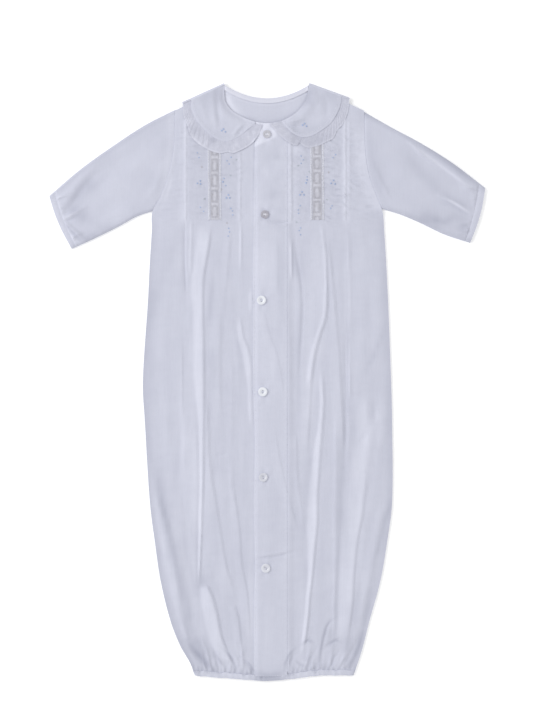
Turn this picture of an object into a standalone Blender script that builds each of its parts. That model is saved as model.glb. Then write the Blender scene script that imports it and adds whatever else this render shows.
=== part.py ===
# A baby's daygown laid flat on its back, front up, as closed solids.
# Across is in mm from the centre front, to the right as it lies. Down is in mm from
# the tops of the shoulders. Height is in mm above the surface that it lies on.
import math

import bmesh
import bpy
from mathutils import Vector

MM = 0.001
CENTRE_X = -1.75  # the centre front, so that the whole gown is centred on X
TOP_Y = 297.85  # the tops of the shoulders, so that it is centred on Y

# cloth
WALL = 1.0
GAP = 0.3
ARMHOLE_GAP = 0.5  # a little more, as the sleeve and the body meet along a curve
LAYER = WALL + GAP
STEEPEST = 1.5  # most that a slope thickens a wall, measured straight up

# neck and shoulders, as (across, down)
NECK_LEFT = (-40.5, 1.7)
NECK_RIGHT = (43.1, 1.3)
TIP_DOWN = 27.0
NECK_MIDDLE = 1.3
NECK_HALF = 41.8
FRONT_NECK_DEEP = 38.0
FRONT_NECK_TOP = 1.5
BACK_NECK_DEEP = 13.0
BINDING_WIDE = 4.5

# placket
BAND_LEFT = -11.5
BAND_RIGHT = 21.2
UNDERLAP = 20.5
BUTTON_WIDE = 9.5
BUTTON_THICK = 2.2
BUTTONS = (
    # across, down
    (1.3, 50.5),
    (-0.7, 130.6),
    (-4.2, 216.3),
    (-2.8, 307.7),
    (-2.3, 393.1),
    (0.2, 483.8),
)

# tucks and lace let into the front
TUCK_RISE = 0.7
TUCK_TOP = 70.0
TUCK_END = 138.0
INNER_TUCK = 25.5
OUTER_TUCK = 79.5
LACE_TOP = 70.5
LACE_END = 136.0
LACE_LEFT = (-55.1, -46.4)
LACE_RIGHT = (46.8, 56.3)

# hem, lowest under the placket
HEM_DOWN = 596.5
HEM = (
    # across, down
    (-75.0, 590.6),
    (-65.5, 591.8),
    (-50.5, 593.2),
    (-37.5, 594.0),
    (-20.5, 595.2),
    (-0.5, 596.5),
    (19.5, 595.4),
    (34.5, 593.6),
    (50.5, 591.6),
    (66.5, 591.2),
    (88.0, 591.0),
)
CASING_WIDE = 5.5
GATHER_RISE = 0.75
GATHER_TOP = 540.0

# the body's left and right edges: shoulder tip, armhole, underarm, side and hem
EDGES = (
    # down, left, right
    (27, -90.5, 98.5),
    (56, -91.0, 99.0),
    (76, -93.5, 100.5),
    (96, -98.5, 104.8),
    (114, -105.5, 111.5),
    (128, -113.0, 117.0),
    (146, -113.5, 118.5),
    (178, -115.5, 120.5),
    (218, -117.5, 122.5),
    (298, -122.5, 125.5),
    (338, -120.5, 126.5),
    (418, -115.5, 126.5),
    (458, -110.5, 121.5),
    (498, -104.5, 114.5),
    (538, -94.5, 103.5),
    (562, -84.9, 97.5),
    (578, -75.7, 92.5),
    (590, -70.6, 88.0),
)

# soft folds that show on the front, each through three points
FOLDS = (
    # top across, down, middle across, down, foot across, down, half width, rise
    (-76, 140, -63, 290, -62, 505, 7, 3.0),
    (-29, 142, -25, 257, -15, 300, 4, 1.6),
    (-58, 355, -43, 444, -27, 548, 6, 1.8),
    (-63, 500, -55, 540, -45, 574, 5, 1.6),
    (-107, 394, -89, 486, -75, 561, 5, 1.6),
    (24, 140, 25, 200, 29, 262, 4, 1.4),
    (52, 138, 62, 211, 44, 303, 6, 2.2),
    (80, 140, 84, 219, 82, 322, 6, 2.2),
    (56, 340, 47, 444, 37, 557, 8, 2.4),
    (114, 330, 98, 382, 80, 540, 7, 2.0),
    (-4, 236, 17, 331, 37, 423, 7, 1.4),
    # on the sleeves
    (-202, 133, -192, 128, -176, 120, 4, 1.4),
    (-200, 139, -192, 146, -180, 156, 4, 1.4),
    (144, 58, 178, 80, 208, 106, 4, 1.2),
    (172, 112, 190, 122, 209, 133, 4, 1.6),
    (160, 138, 174, 142, 188, 146, 4, 1.2),
)

# sleeves, from the armhole to the cuff's edge
SLEEVE_DEEP = 3.2
CUFF_WIDE = 6.5
CUFF_BOW = 2.4  # the wrist's edge curves outwards
LEFT_SLEEVE = (
    # top across, top down, underarm across, underarm down
    (-90.5, 26, -113.5, 127),
    (-121.5, 42, -129.5, 133),
    (-153.5, 63, -145.5, 142),
    (-185.5, 86, -169.5, 154),
    (-216.0, 112, -193.5, 165),
)
RIGHT_SLEEVE = (
    (98.5, 28, 117.5, 125),
    (126.5, 44, 134.5, 130.5),
    (154.5, 59, 154.5, 139),
    (186.5, 79, 178.5, 150.5),
    (219.5, 104, 204.5, 159),
)

# collar: the folded shoulder edge as it shows, and the cloth and lace edges
COLLAR_WRAP = 2.45  # outer radius of its turn round the shoulder
COLLAR_ROLL = 2.5
SHOULDER_LEFT = ((-41.5, -0.5), (-83.5, 18.3))
SHOULDER_RIGHT = ((44.0, -1.0), (84.5, 14.0))
CLOTH_AT_SHOULDER = 0.80  # how far along that edge the cloth reaches
BACK_CLOTH_DEEP = 38.0
BACK_LACE_DEEP = 49.0
LEFT_PETAL = (
    # cloth across, cloth down, lace across, lace down, from the front end
    (-10.5, 40.6, -3.2, 41.0),
    (-18.0, 46.0, -6.0, 50.0),
    (-26.5, 52.8, -14.5, 60.5),
    (-35.5, 56.8, -26.0, 67.0),
    (-45.5, 56.8, -38.5, 69.5),
    (-55.0, 51.5, -52.0, 67.3),
    (-64.5, 42.8, -67.0, 59.5),
    (-71.5, 32.5, -77.5, 47.0),
    (-74.5, 24.0, -82.0, 33.0),
)
RIGHT_PETAL = (
    (16.5, 38.5, 3.8, 40.4),
    (21.5, 44.6, 8.5, 46.5),
    (28.0, 50.2, 17.0, 54.4),
    (36.5, 53.4, 27.0, 60.4),
    (46.0, 52.2, 40.0, 63.4),
    (56.0, 46.6, 55.0, 60.2),
    (65.0, 39.6, 67.2, 53.6),
    (71.5, 29.4, 76.5, 41.5),
    (75.0, 20.5, 82.8, 27.0),
)
FRILL_PITCH = 14.0
FRILL_RISE = 1.1

# how the sheet lies over the back of the collar
PAD_ACROSS = 88.0
PAD_DOWN = 74.0
PAD_FADE = 20.0

LOFT = 1.3


def mix(start, end, part):
    return start + (end - start) * part


def ease(start, end, x):
    part = min(1.0, max(0.0, (x - start) / (end - start)))
    return part * part * (3 - 2 * part)


def between(first, second, part):
    return tuple(mix(a, b, part) for a, b in zip(first, second))


def read(table, column, x):
    """The smooth curve through one column of a table, whose first column rises."""
    x = min(table[-1][0], max(table[0][0], x))
    k = next(k for k in range(len(table) - 1) if x <= table[k + 1][0])

    def slope(n):
        before = table[max(n - 1, 0)]
        after = table[min(n + 1, len(table) - 1)]
        return (after[column] - before[column]) / (after[0] - before[0])

    span = table[k + 1][0] - table[k][0]
    t = (x - table[k][0]) / span
    start = (1 + 2 * t) * (1 - t) ** 2 * table[k][column]
    end = t * t * (3 - 2 * t) * table[k + 1][column]
    turn = t * (1 - t) * span * ((1 - t) * slope(k) - t * slope(k + 1))
    return start + end + turn


def along(rows, part):
    """A point on the smooth curve through evenly counted rows, part from 0 to 1."""
    numbered = [(n, *row) for n, row in enumerate(rows)]
    x = part * (len(rows) - 1)
    return tuple(read(numbered, c + 1, x) for c in range(len(rows[0])))


def left_edge(down):
    return read(EDGES, 1, down)


def right_edge(down):
    return read(EDGES, 2, down)


def hem(across):
    return read(HEM, 1, across)


def front_neck(across):
    part = min(1.0, abs(across - NECK_MIDDLE) / NECK_HALF)
    return FRONT_NECK_TOP + FRONT_NECK_DEEP * math.sqrt(1 - part * part)


def back_neck(across):
    part = (across - NECK_MIDDLE) / NECK_HALF
    return FRONT_NECK_TOP + BACK_NECK_DEEP * (1 - min(1.0, part * part))


def shoulder(across):
    if across < 0:
        tip, neck = (EDGES[0][1], TIP_DOWN), NECK_LEFT
    else:
        tip, neck = (EDGES[0][2], TIP_DOWN), NECK_RIGHT
    return mix(neck[1], tip[1], (across - neck[0]) / (tip[0] - neck[0]))


def pad(across, down):
    """How much the collar's back lifts what lies on it."""
    size = (abs(across / PAD_ACROSS) ** 4 + abs(down / PAD_DOWN) ** 4) ** 0.25
    return LAYER * (1 - ease(0, PAD_FADE, (size - 1) * PAD_DOWN))


def fold_line(row, steps=10):
    top, middle, foot = row[0:2], row[2:4], row[4:6]
    line = []
    for n in range(steps + 1):
        t = n / steps
        parts = ((1 - t) * (1 - 2 * t), 4 * t * (1 - t), t * (2 * t - 1))
        line.append(
            tuple(
                parts[0] * a + parts[1] * b + parts[2] * c
                for a, b, c in zip(top, middle, foot)
            )
        )
    return line


FOLD_LINES = [(fold_line(row), row[6], row[7]) for row in FOLDS]


def nearest_on(line, across, down):
    """The distance to a line and how far along it the nearest point lies."""
    best = (1e9, 0.0)
    for n in range(len(line) - 1):
        (x0, y0), (x1, y1) = line[n], line[n + 1]
        span = (x1 - x0) ** 2 + (y1 - y0) ** 2
        t = ((across - x0) * (x1 - x0) + (down - y0) * (y1 - y0)) / span
        t = min(1.0, max(0.0, t))
        away = math.hypot(across - mix(x0, x1, t), down - mix(y0, y1, t))
        best = min(best, (away, (n + t) / (len(line) - 1)))
    return best


def folds(across, down):
    total = 0.0
    for line, width, rise in FOLD_LINES:
        away, part = nearest_on(line, across, down)
        if away < 3 * width:
            ends = ease(0, 0.2, part) * (1 - ease(0.8, 1, part))
            total += rise * ends * math.exp(-((away / width) ** 2))
    return total


def loft(across, down):
    side = left_edge(down) if across < 0 else right_edge(down)
    sides = 1 - min(1.0, abs(across / side)) ** 3
    return LOFT * sides * ease(80, 160, down) * (1 - ease(500, 585, down))


def tucks(across, down):
    line = min(abs(abs(across) - tuck) for tuck in (INNER_TUCK, OUTER_TUCK))
    length = ease(TUCK_TOP, TUCK_TOP + 4, down) * (1 - ease(TUCK_END, TUCK_END + 8, down))
    return TUCK_RISE * length * max(0.0, 1 - line / 2.0)


def front_height(across, down):
    """The underside of the front's cloth, with the placket's step on the right."""
    height = LAYER + pad(across, down) + loft(across, down)
    height += folds(across, down) + tucks(across, down)
    if across > UNDERLAP + 0.5:
        height += LAYER * (1 - ease(UNDERLAP + 1.5, UNDERLAP + 9, across))
    return height


def thicken(rows, thick=WALL):
    """Adds each point's upper height, so that the wall is even on slopes too."""
    made = []
    for r, row in enumerate(rows):
        line = []
        for c, point in enumerate(row):
            steep = 0.0
            for r2, c2 in ((r - 1, c), (r + 1, c), (r, c - 1), (r, c + 1)):
                if 0 <= r2 < len(rows) and 0 <= c2 < len(row):
                    other = rows[r2][c2]
                    run = math.hypot(other[0] - point[0], other[1] - point[1])
                    steep = max(steep, abs(other[2] - point[2]) / run)
            upper = point[2] + thick * min(STEEPEST, math.sqrt(1 + steep * steep))
            line.append((*point, upper))
        made.append(line)
    return made


def place(across, down, height):
    return Vector((across + CENTRE_X, TOP_Y - down, height)) * MM


def material(name, colour, rough):
    made = bpy.data.materials.get(name) or bpy.data.materials.new(name)
    made.use_nodes = True
    made.diffuse_color = (*colour, 1)
    shader = made.node_tree.nodes["Principled BSDF"]
    shader.inputs["Base Color"].default_value = (*colour, 1)
    shader.inputs["Roughness"].default_value = rough
    shader.inputs["Metallic"].default_value = 0.0
    return made


def cotton():
    return material("cotton_batiste", (0.80, 0.81, 0.87), 0.85)


def lace():
    return material("cotton_lace", (0.70, 0.70, 0.74), 0.9)


def pearl():
    return material("pearl_button", (0.78, 0.78, 0.82), 0.3)


def finish(name, mesh, stuff):
    shell = bmesh.new()
    shell.from_mesh(mesh)
    bmesh.ops.recalc_face_normals(shell, faces=shell.faces)
    if shell.calc_volume(signed=True) < 0:
        bmesh.ops.reverse_faces(shell, faces=shell.faces)
    shell.to_mesh(mesh)
    shell.free()
    mesh.materials.append(stuff)
    made = bpy.data.objects.new(name, mesh)
    bpy.context.collection.objects.link(made)
    return made


def wall(name, under, over, stuff, ring=False):
    """A closed wall between two grids of (across, down, height) points."""
    rows, columns = len(under), len(under[0])
    points = [place(*p) for row in under for p in row]
    points += [place(*p) for row in over for p in row]
    top = rows * columns
    faces = []

    def at(r, c):
        return r * columns + c % columns

    def band(a, b):
        """The edge strip that joins the two grids along one edge."""
        faces.append((a, b, top + b))
        faces.append((a, top + b, top + a))

    last = columns if ring else columns - 1
    for r in range(rows - 1):
        for c in range(last):
            a, b, d, e = at(r, c), at(r, c + 1), at(r + 1, c + 1), at(r + 1, c)
            faces += [(a, b, d), (a, d, e)]
            faces += [(top + a, top + d, top + b), (top + a, top + e, top + d)]
    for c in range(last):
        band(at(0, c), at(0, c + 1))
        band(at(rows - 1, c + 1), at(rows - 1, c))
    if not ring:
        for r in range(rows - 1):
            band(at(r + 1, 0), at(r, 0))
            band(at(r, columns - 1), at(r + 1, columns - 1))
    mesh = bpy.data.meshes.new(name)
    mesh.from_pydata(points, [], faces)
    return finish(name, mesh, stuff)


def layer(name, rows, stuff):
    """A wall from one grid of (across, down, underside, upper side) points."""
    under = [[(p[0], p[1], p[2]) for p in row] for row in rows]
    over = [[(p[0], p[1], p[3]) for p in row] for row in rows]
    return wall(name, under, over, stuff)


# body

ARMHOLE_PART = 0.19  # how much of the back's length its armholes take
YOKE_FOOT = 56.0  # below this the columns lie at their own places
LEVELS = [YOKE_FOOT, LACE_TOP, 82.0, 100.0, 118.0, LACE_END]
LEVELS += [LACE_END + (GATHER_TOP - LACE_END) * n / 21 for n in range(1, 22)]
HEM_PARTS = (0.30, 0.52, 0.72, 0.87, 1.0)


def column_downs(top, across):
    """How far down each row lies on one column, from its top edge to the hem."""
    downs = [mix(top, YOKE_FOOT, n / 3) for n in range(3)] + LEVELS
    foot = hem(across) - CASING_WIDE - GAP
    return downs + [mix(GATHER_TOP, foot, part) for part in HEM_PARTS]


LEFT_FIXED = (-81.5, -79.5, -77.5, -71, -65, -60, -55.1, -50.8, -46.4, -41, -35, -30)
LEFT_FIXED += (-27.5, -25.5, -23.5, -17)
BAND_COLUMNS = (BAND_LEFT, -4, 4, 12, UNDERLAP)
RIGHT_FIXED = (BAND_RIGHT + GAP, 23.5, 25.5, 27.5, 31, 36, 41, 46.8, 51.5, 56.3)
RIGHT_FIXED += (61, 66, 72, 77.5, 79.5, 81.5)


def left_columns():
    """(top across, top down, across at a given down) for each column, side first."""
    columns = []
    for out in (1.0, 0.75, 0.5, 0.25):
        tip = mix(-81.5, EDGES[0][1], out)
        columns.append((tip, shoulder(tip), ("side", out)))
    for across in LEFT_FIXED:
        if across < -40:
            tip = mix(-81.5, NECK_LEFT[0], (across + 81.5) / 40.5)
            columns.append((tip, shoulder(tip), ("at", across)))
        else:
            tip = {-35: -38.2, -30: -32.0}.get(across, across)
            columns.append((tip, front_neck(tip), ("at", across)))
    for across in BAND_COLUMNS:
        columns.append((across, front_neck(across), ("band", across)))
    return columns


def right_columns():
    columns = []
    for across in RIGHT_FIXED:
        if across < 40:
            tip = {36: 38.8, 31: 32.5}.get(across, across)
            columns.append((tip, front_neck(tip), ("at", across)))
        else:
            tip = mix(NECK_RIGHT[0], 81.5, (across - 41) / 40.5)
            columns.append((tip, shoulder(tip), ("at", across)))
    for out in (0.2, 0.4, 0.6, 0.8, 1.0):
        tip = mix(81.5, EDGES[0][2], out)
        columns.append((tip, shoulder(tip), ("side", out)))
    return columns


def column_across(column, n, count, down, edge, inner):
    """Where a column lies at a given down. Below the yoke the columns even out."""
    tip, tip_down, (kind, value) = column
    if kind == "side":
        guide = mix(81.5 if edge(down) > 0 else -81.5, edge(down), value)
    else:
        guide = value
    guide = mix(tip, guide, ease(tip_down, YOKE_FOOT, down))
    if kind == "band":
        return guide
    even = mix(edge(down), inner, n / count)
    return mix(guide, even, ease(200, GATHER_TOP - 20, down))


def gather(n, down):
    """The zigzag of the gathers, each column with its own length."""
    start = GATHER_TOP - 6 + 11 * math.sin(2.4 * n) + 7 * math.sin(1.1 * n)
    return 1.6 * GATHER_RISE * (n % 2) * ease(start, start + 32, down)


def panel_rows(columns, edge, inner, flip):
    """The grid of one front half. Column 0 is the side if flip is False."""
    loose = [c for c in columns if c[2][0] != "band"]
    grid = []
    for n, column in enumerate(columns):
        count = len(loose) - 1 if flip else len(loose)
        order = len(loose) - 1 - n if flip else n
        downs = column_downs(column[1], column[0])
        line = []
        for r, down in enumerate(downs):
            across = column_across(column, order, count, down, edge, inner)
            if r >= len(downs) - len(HEM_PARTS):
                part = HEM_PARTS[r - len(downs) + len(HEM_PARTS)]
                foot = hem(across) - CASING_WIDE - GAP
                down = mix(GATHER_TOP, foot, part)
            height = front_height(across, down)
            if column[2][0] != "band" and 0 < order:
                height += gather(n, down)
            line.append((across, down, height))
        grid.append(line)
    return thicken([list(row) for row in zip(*grid)])


def front_left():
    rows = panel_rows(left_columns(), left_edge, BAND_LEFT, False)
    layer("front_left", rows, cotton())
    return rows


def front_right():
    rows = panel_rows(right_columns(), right_edge, BAND_RIGHT + GAP, True)
    layer("front_right", rows, cotton())
    return rows


def placket_band(left_rows):
    """The buttonhole band, made from the points of the front that it lies on."""
    first = len(left_rows[0]) - len(BAND_COLUMNS)
    rows = []
    for row in left_rows:
        line = [(p[0], p[1], p[3] + GAP) for p in row[first:]]
        line[-1] = (BAND_RIGHT, *line[-1][1:])
        rows.append(line)
    return layer("placket_band", thicken(rows), cotton())


def lace_insertion(name, front_rows, edges):
    """Lace along the front between two of its columns, moved out from its points."""
    rows = []
    first = 3 + LEVELS.index(LACE_TOP)
    last = 3 + LEVELS.index(LACE_END)
    for row in front_rows[first : last + 1]:
        inside = [p for p in row if edges[0] - 0.6 < p[0] < edges[1] + 0.6]
        rows.append([(p[0], p[1], p[3] + GAP) for p in inside])
    return layer(name, thicken(rows), lace())


def casing_top(part):
    """Where the hem's casing starts, part of the way from left to right."""
    down = HEM_DOWN
    for _ in range(3):
        down = hem(mix(left_edge(down), right_edge(down), part)) - CASING_WIDE - GAP
    return down


def back_panel():
    """The whole back. It rests flat, lifted only over the back of the collar."""
    levels = [ARMHOLE_PART * n / 10 for n in range(10)]
    levels += [mix(ARMHOLE_PART, 1, n / 18) for n in range(19)]
    grid = []
    for n in range(23):
        part = n / 22
        tip = mix(EDGES[0][1], EDGES[0][2], part)
        on_shoulder = tip < NECK_LEFT[0] or tip > NECK_RIGHT[0]
        top = shoulder(tip) if on_shoulder else back_neck(tip)
        foot = casing_top(part)
        line = []
        for level in levels:
            down = mix(top, foot, level)
            across = mix(left_edge(down), right_edge(down), part)
            line.append((across, down, pad(across, down)))
        grid.append(line)
    rows = thicken([list(row) for row in zip(*grid)])
    return layer("back_panel", rows, cotton())


def neck_binding():
    """The narrow bias strip that shows inside the back neckline."""
    rows = [[], []]
    for n in range(21):
        across = mix(NECK_LEFT[0] + 2.5, NECK_RIGHT[0] - 2.5, n / 20)
        down = back_neck(across)
        rows[0].append((across, down, 2 * LAYER))
        rows[1].append((across, down + BINDING_WIDE, 2 * LAYER))
    return layer("neck_binding", thicken(rows), cotton())


# sleeves, cuffs and casing, which are tubes pressed flat


def flat_ring(line, top, lower):
    """(outer, inner) loops of a tube pressed flat over a line in plan."""
    spread = math.dist(line[0], line[-1])

    def point(part):
        return along(line, part)

    def loop(side, corner, lift, drop):
        upper = []
        under = []
        for n in range(len(line)):
            part = mix(corner / spread, 1 - corner / spread, n / (len(line) - 1))
            a, d = point(part)
            upper.append((a, d, top(a, d) - lift))
        for n in range(lower, -1, -1):
            part = mix(corner / spread, 1 - corner / spread, n / lower)
            a, d = point(part)
            under.append((a, d, drop))
        far = point(1 - side / spread)
        near = point(side / spread)
        middle = SLEEVE_DEEP / 2
        return upper + [(*far, middle)] + under + [(*near, middle)]

    return loop(0.0, 0.9, 0.0, 0.0), loop(1.1, 1.7, 1.05 * WALL, WALL)


def sleeve_top(across, down):
    return SLEEVE_DEEP + folds(across, down)


def sleeve_line(table, part, edge, count):
    """The line across the sleeve at one part of its length, armhole shaped first."""
    top_a, top_d, under_a, under_d = along(table, part)
    bow = max(0.0, 1 - part / 0.55) ** 2
    line = []
    for n in range(count + 1):
        t = n / count
        down = mix(top_d, under_d, t)
        across = mix(top_a, under_a, t)
        start = mix(table[0][1], table[0][3], t)
        hole = edge(start) - mix(table[0][0], table[0][2], t)
        wrist = CUFF_BOW * part**3 * math.sin(math.pi * t)
        across += bow * hole + math.copysign(wrist, table[0][0])
        line.append((across, down))
    return line


def sleeve(name, table, edge, side):
    long = math.dist(along(table, 1)[0:2], along(table, 0)[0:2])
    stop = 1 - (CUFF_WIDE + GAP) / long
    outer, inner = [], []
    for n in range(10):
        line = sleeve_line(table, stop * n / 9, edge, 12)
        if n == 0:
            line = [(a + side * ARMHOLE_GAP, d) for a, d in line]
        loops = flat_ring(line, sleeve_top, 8)
        outer.append(loops[0])
        inner.append(loops[1])
    wall(name, inner, outer, cotton(), ring=True)
    return stop


def cuff(name, table, edge, side, stop):
    """The narrow band at the wrist, pulled in a little on its elastic."""
    long = math.dist(along(table, 1)[0:2], along(table, 0)[0:2])
    outer, inner = [], []
    for n, part in enumerate((stop + GAP / long, (stop + 1) / 2, 1.0)):
        line = sleeve_line(table, part, edge, 12)
        swell = 0.7 if n == 1 else 0.0
        loops = flat_ring(line, lambda a, d: SLEEVE_DEEP + swell, 8)
        outer.append(loops[0])
        inner.append(loops[1])
    return wall(name, inner, outer, cotton(), ring=True)


def hem_casing():
    """The elastic's casing, one flat tube all round the hem."""
    outer, inner = [], []
    count = 40
    for n, drop in enumerate((CASING_WIDE, CASING_WIDE / 2, 0.0)):
        left, right = left_edge(590 - drop), right_edge(590 - drop)
        line = []
        for k in range(count + 1):
            across = mix(left, right, k / count)
            line.append((across, hem(across) - drop))
        swell = 0.5 if n == 1 else 0.0

        def top(across, down):
            part = (across - left) / (right - left) * count
            wave = 0.35 * math.cos(math.pi * part)
            return SLEEVE_DEEP + 0.3 + swell + wave

        loops = flat_ring(line, top, 16)
        outer.append(loops[0])
        inner.append(loops[1])
    return wall("hem_casing", inner, outer, cotton(), ring=True)


# collar


def fold_axis(edge):
    """The line that the collar turns round, and the way out from it."""
    (x0, y0), (x1, y1) = edge
    length = math.hypot(x1 - x0, y1 - y0)
    out = ((y1 - y0) / length, -(x1 - x0) / length)
    if out[1] > 0:
        out = (-out[0], -out[1])
    start = (x0 - out[0] * COLLAR_WRAP, y0 - out[1] * COLLAR_WRAP)
    end = (x1 - out[0] * COLLAR_WRAP, y1 - out[1] * COLLAR_WRAP)
    return start, end, out


def petal_stations(table, edge, count):
    """(neck, cloth, lace, part) for each column, from the front end to the shoulder."""
    start, end, _ = fold_axis(edge)
    cloth_end = between(start, end, CLOTH_AT_SHOULDER)
    rows = [*table, (*cloth_end, *end)]
    first = (table[0][0] + table[0][2] * 0.05 - NECK_MIDDLE) / NECK_HALF
    angle_from = math.asin(first)
    angle_to = math.copysign(math.pi / 2, first)
    stations = []
    for n in range(count + 1):
        part = n / count
        angle = mix(angle_from, angle_to, part)
        neck = (
            NECK_MIDDLE + NECK_HALF * math.sin(angle),
            FRONT_NECK_TOP + FRONT_NECK_DEEP * math.cos(angle),
        )
        if n == count:
            neck = start
        a, d, e, f = along(rows, part)
        stations.append((neck, (a, d), (e, f), part))
    return stations


def back_stations(count):
    """The same for the back, from the left shoulder to the right one."""
    left, left_end, _ = fold_axis(SHOULDER_LEFT)
    right, right_end, _ = fold_axis(SHOULDER_RIGHT)
    cloth_left = between(left, left_end, CLOTH_AT_SHOULDER)
    cloth_right = between(right, right_end, CLOTH_AT_SHOULDER)
    stations = []
    for n in range(count + 1):
        part = n / count
        swing = (1 - math.cos(math.pi * part)) / 2
        bulge = math.sin(math.pi * part)
        neck_across = mix(left[0], right[0], part)
        neck = (neck_across, back_neck(neck_across))
        cloth = between(cloth_left, cloth_right, swing)
        edge = between(left_end, right_end, swing)
        cloth = (cloth[0], cloth[1] + BACK_CLOTH_DEEP * bulge)
        edge = (edge[0], edge[1] + BACK_LACE_DEEP * bulge)
        stations.append((neck, cloth, edge, part))
    return stations



def front_level(across):
    """The underside of the collar's front, higher where the placket lies under it."""
    step = ease(BAND_LEFT - 12, BAND_LEFT - 2, across) * (1 - ease(24, 34, across))
    return LAYER * (3 + step)


TURN = (60, 30, 0, -30, -60)  # degrees from straight out at the shoulder


def roll(part, along_width, width):
    """How high the collar stands near the neck seam."""
    side = ease(0, 0.25, part) * (1 - ease(0.75, 1, part))
    rise = COLLAR_ROLL * min(1.0, width / 16) * side
    return rise * math.sin(math.pi * min(1.0, along_width * width / 15)) ** 2


def ring_columns(lines, heights_of):
    """Joins front, turn, back, turn and front into one run of columns.

    lines: (front left, back, front right) stations as lists of points from the
    inner edge to the outer one. heights_of gives the underside of a front point.
    """
    front_l, back, front_r = lines
    under, over = [], []
    for n, line in enumerate(front_l):
        low = [heights_of("left", n, k, p) for k, p in enumerate(line)]
        under.append([(*p, z) for p, z in zip(line, low)])
        over.append([(*p, z + WALL) for p, z in zip(line, low)])
    add_turn(under, over, back[0], SHOULDER_LEFT, TURN)
    for line in back:
        under.append([(*p, WALL) for p in line])
        over.append([(*p, 0.0) for p in line])
    add_turn(under, over, back[-1], SHOULDER_RIGHT, TURN[::-1])
    for n, line in enumerate(front_r):
        low = [heights_of("right", n, k, p) for k, p in enumerate(line)]
        under.append([(*p, z) for p, z in zip(line, low)])
        over.append([(*p, z + WALL) for p, z in zip(line, low)])
    return under, over


def add_turn(under, over, line, edge, degrees):
    _, _, out = fold_axis(edge)
    for degree in degrees:
        reach = math.cos(math.radians(degree))
        rise = math.sin(math.radians(degree))
        for run, radius in ((under, COLLAR_WRAP - WALL), (over, COLLAR_WRAP)):
            run.append(
                [
                    (
                        p[0] + out[0] * radius * reach,
                        p[1] + out[1] * radius * reach,
                        COLLAR_WRAP + radius * rise,
                    )
                    for p in line
                ]
            )


def collar():
    rows = 5
    left = petal_stations(LEFT_PETAL, SHOULDER_LEFT, 18)
    right = petal_stations(RIGHT_PETAL, SHOULDER_RIGHT, 18)[::-1]
    back = back_stations(20)

    def lines(stations):
        return [
            [between(neck, cloth, k / rows) for k in range(rows + 1)]
            for neck, cloth, _, _ in stations
        ]

    def height(side, n, k, point):
        neck, cloth, _, part = (left if side == "left" else right)[n]
        return front_level(point[0]) + roll(part, k / rows, math.dist(neck, cloth))

    under, over = ring_columns((lines(left), lines(back), lines(right)), height)
    return wall("collar", under, over, cotton())


def collar_lace():
    """The frilled lace round the collar's edge, one gap away from its cloth."""
    rows = 2
    left = petal_stations(LEFT_PETAL, SHOULDER_LEFT, 40)
    right = petal_stations(RIGHT_PETAL, SHOULDER_RIGHT, 40)[::-1]
    back = back_stations(24)

    def lines(stations):
        made = []
        for _, cloth, edge, _ in stations:
            start = GAP * 1.4 / max(1.0, math.dist(cloth, edge))
            made.append(
                [between(cloth, edge, mix(start, 1, k / rows)) for k in range(rows + 1)]
            )
        return made

    def height(side, n, k, point):
        part = (left if side == "left" else right)[n][3]
        waves = math.sin(2 * math.pi * part * 120 / FRILL_PITCH) + 1
        quiet = 1 - ease(0.85, 1, part)
        return front_level(point[0]) + FRILL_RISE * waves / 2 * quiet * k / rows

    under, over = ring_columns((lines(left), lines(back), lines(right)), height)
    return wall("collar_lace", under, over, lace())


# buttons


def highest(band, across, down, radius):
    """The top of the band anywhere under a button."""
    tops = []
    for n in range(24):
        angle = 2 * math.pi * n / 12
        reach = radius if n < 12 else radius / 2
        start = place(
            across + reach * math.cos(angle), down + reach * math.sin(angle), 40
        )
        hit, where, _, _ = band.ray_cast(start, Vector((0, 0, -1)))
        if hit:
            tops.append(where.z / MM)
    return max(tops)


def button(name, across, down, height):
    """A turned pearl button with a raised rim."""
    half = BUTTON_WIDE / 2
    profile = (
        # radius, height
        (half * 0.80, 0.0),
        (half, 0.7),
        (half, 1.5),
        (half * 0.88, BUTTON_THICK),
        (half * 0.66, BUTTON_THICK),
        (half * 0.52, 1.5),
    )
    count = 20
    points, faces = [], []
    for radius, rise in profile:
        for n in range(count):
            angle = 2 * math.pi * n / count
            points.append(
                Vector((radius * math.cos(angle), radius * math.sin(angle), rise)) * MM
            )
    for k in range(len(profile) - 1):
        for n in range(count):
            after = (n + 1) % count
            a, b = k * count + n, k * count + after
            faces.append((a, b, b + count, a + count))
    faces.append(tuple(reversed(range(count))))
    faces.append(tuple(range((len(profile) - 1) * count, len(profile) * count)))
    mesh = bpy.data.meshes.new(name)
    mesh.from_pydata(points, [], faces)
    made = finish(name, mesh, pearl())
    made.location = place(across, down, height)
    return made


def main():
    for old in list(bpy.data.objects):
        bpy.data.objects.remove(old, do_unlink=True)
    left_rows = front_left()
    right_rows = front_right()
    band = placket_band(left_rows)
    back_panel()
    neck_binding()
    lace_insertion("lace_insertion_left", left_rows, LACE_LEFT)
    lace_insertion("lace_insertion_right", right_rows, LACE_RIGHT)
    for name, table, edge, side in (
        ("left", LEFT_SLEEVE, left_edge, -1),
        ("right", RIGHT_SLEEVE, right_edge, 1),
    ):
        stop = sleeve("sleeve_" + name, table, edge, side)
        cuff("cuff_" + name, table, edge, side, stop)
    hem_casing()
    collar()
    collar_lace()
    bpy.context.view_layer.update()
    for n, (across, down) in enumerate(BUTTONS, 1):
        height = highest(band, across, down, BUTTON_WIDE / 2) + GAP
        button(f"button_{n}", across, down, height)


main()
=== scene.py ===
import math

import bpy
import numpy as np
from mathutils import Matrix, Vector
from mathutils.bvhtree import BVHTree


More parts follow.
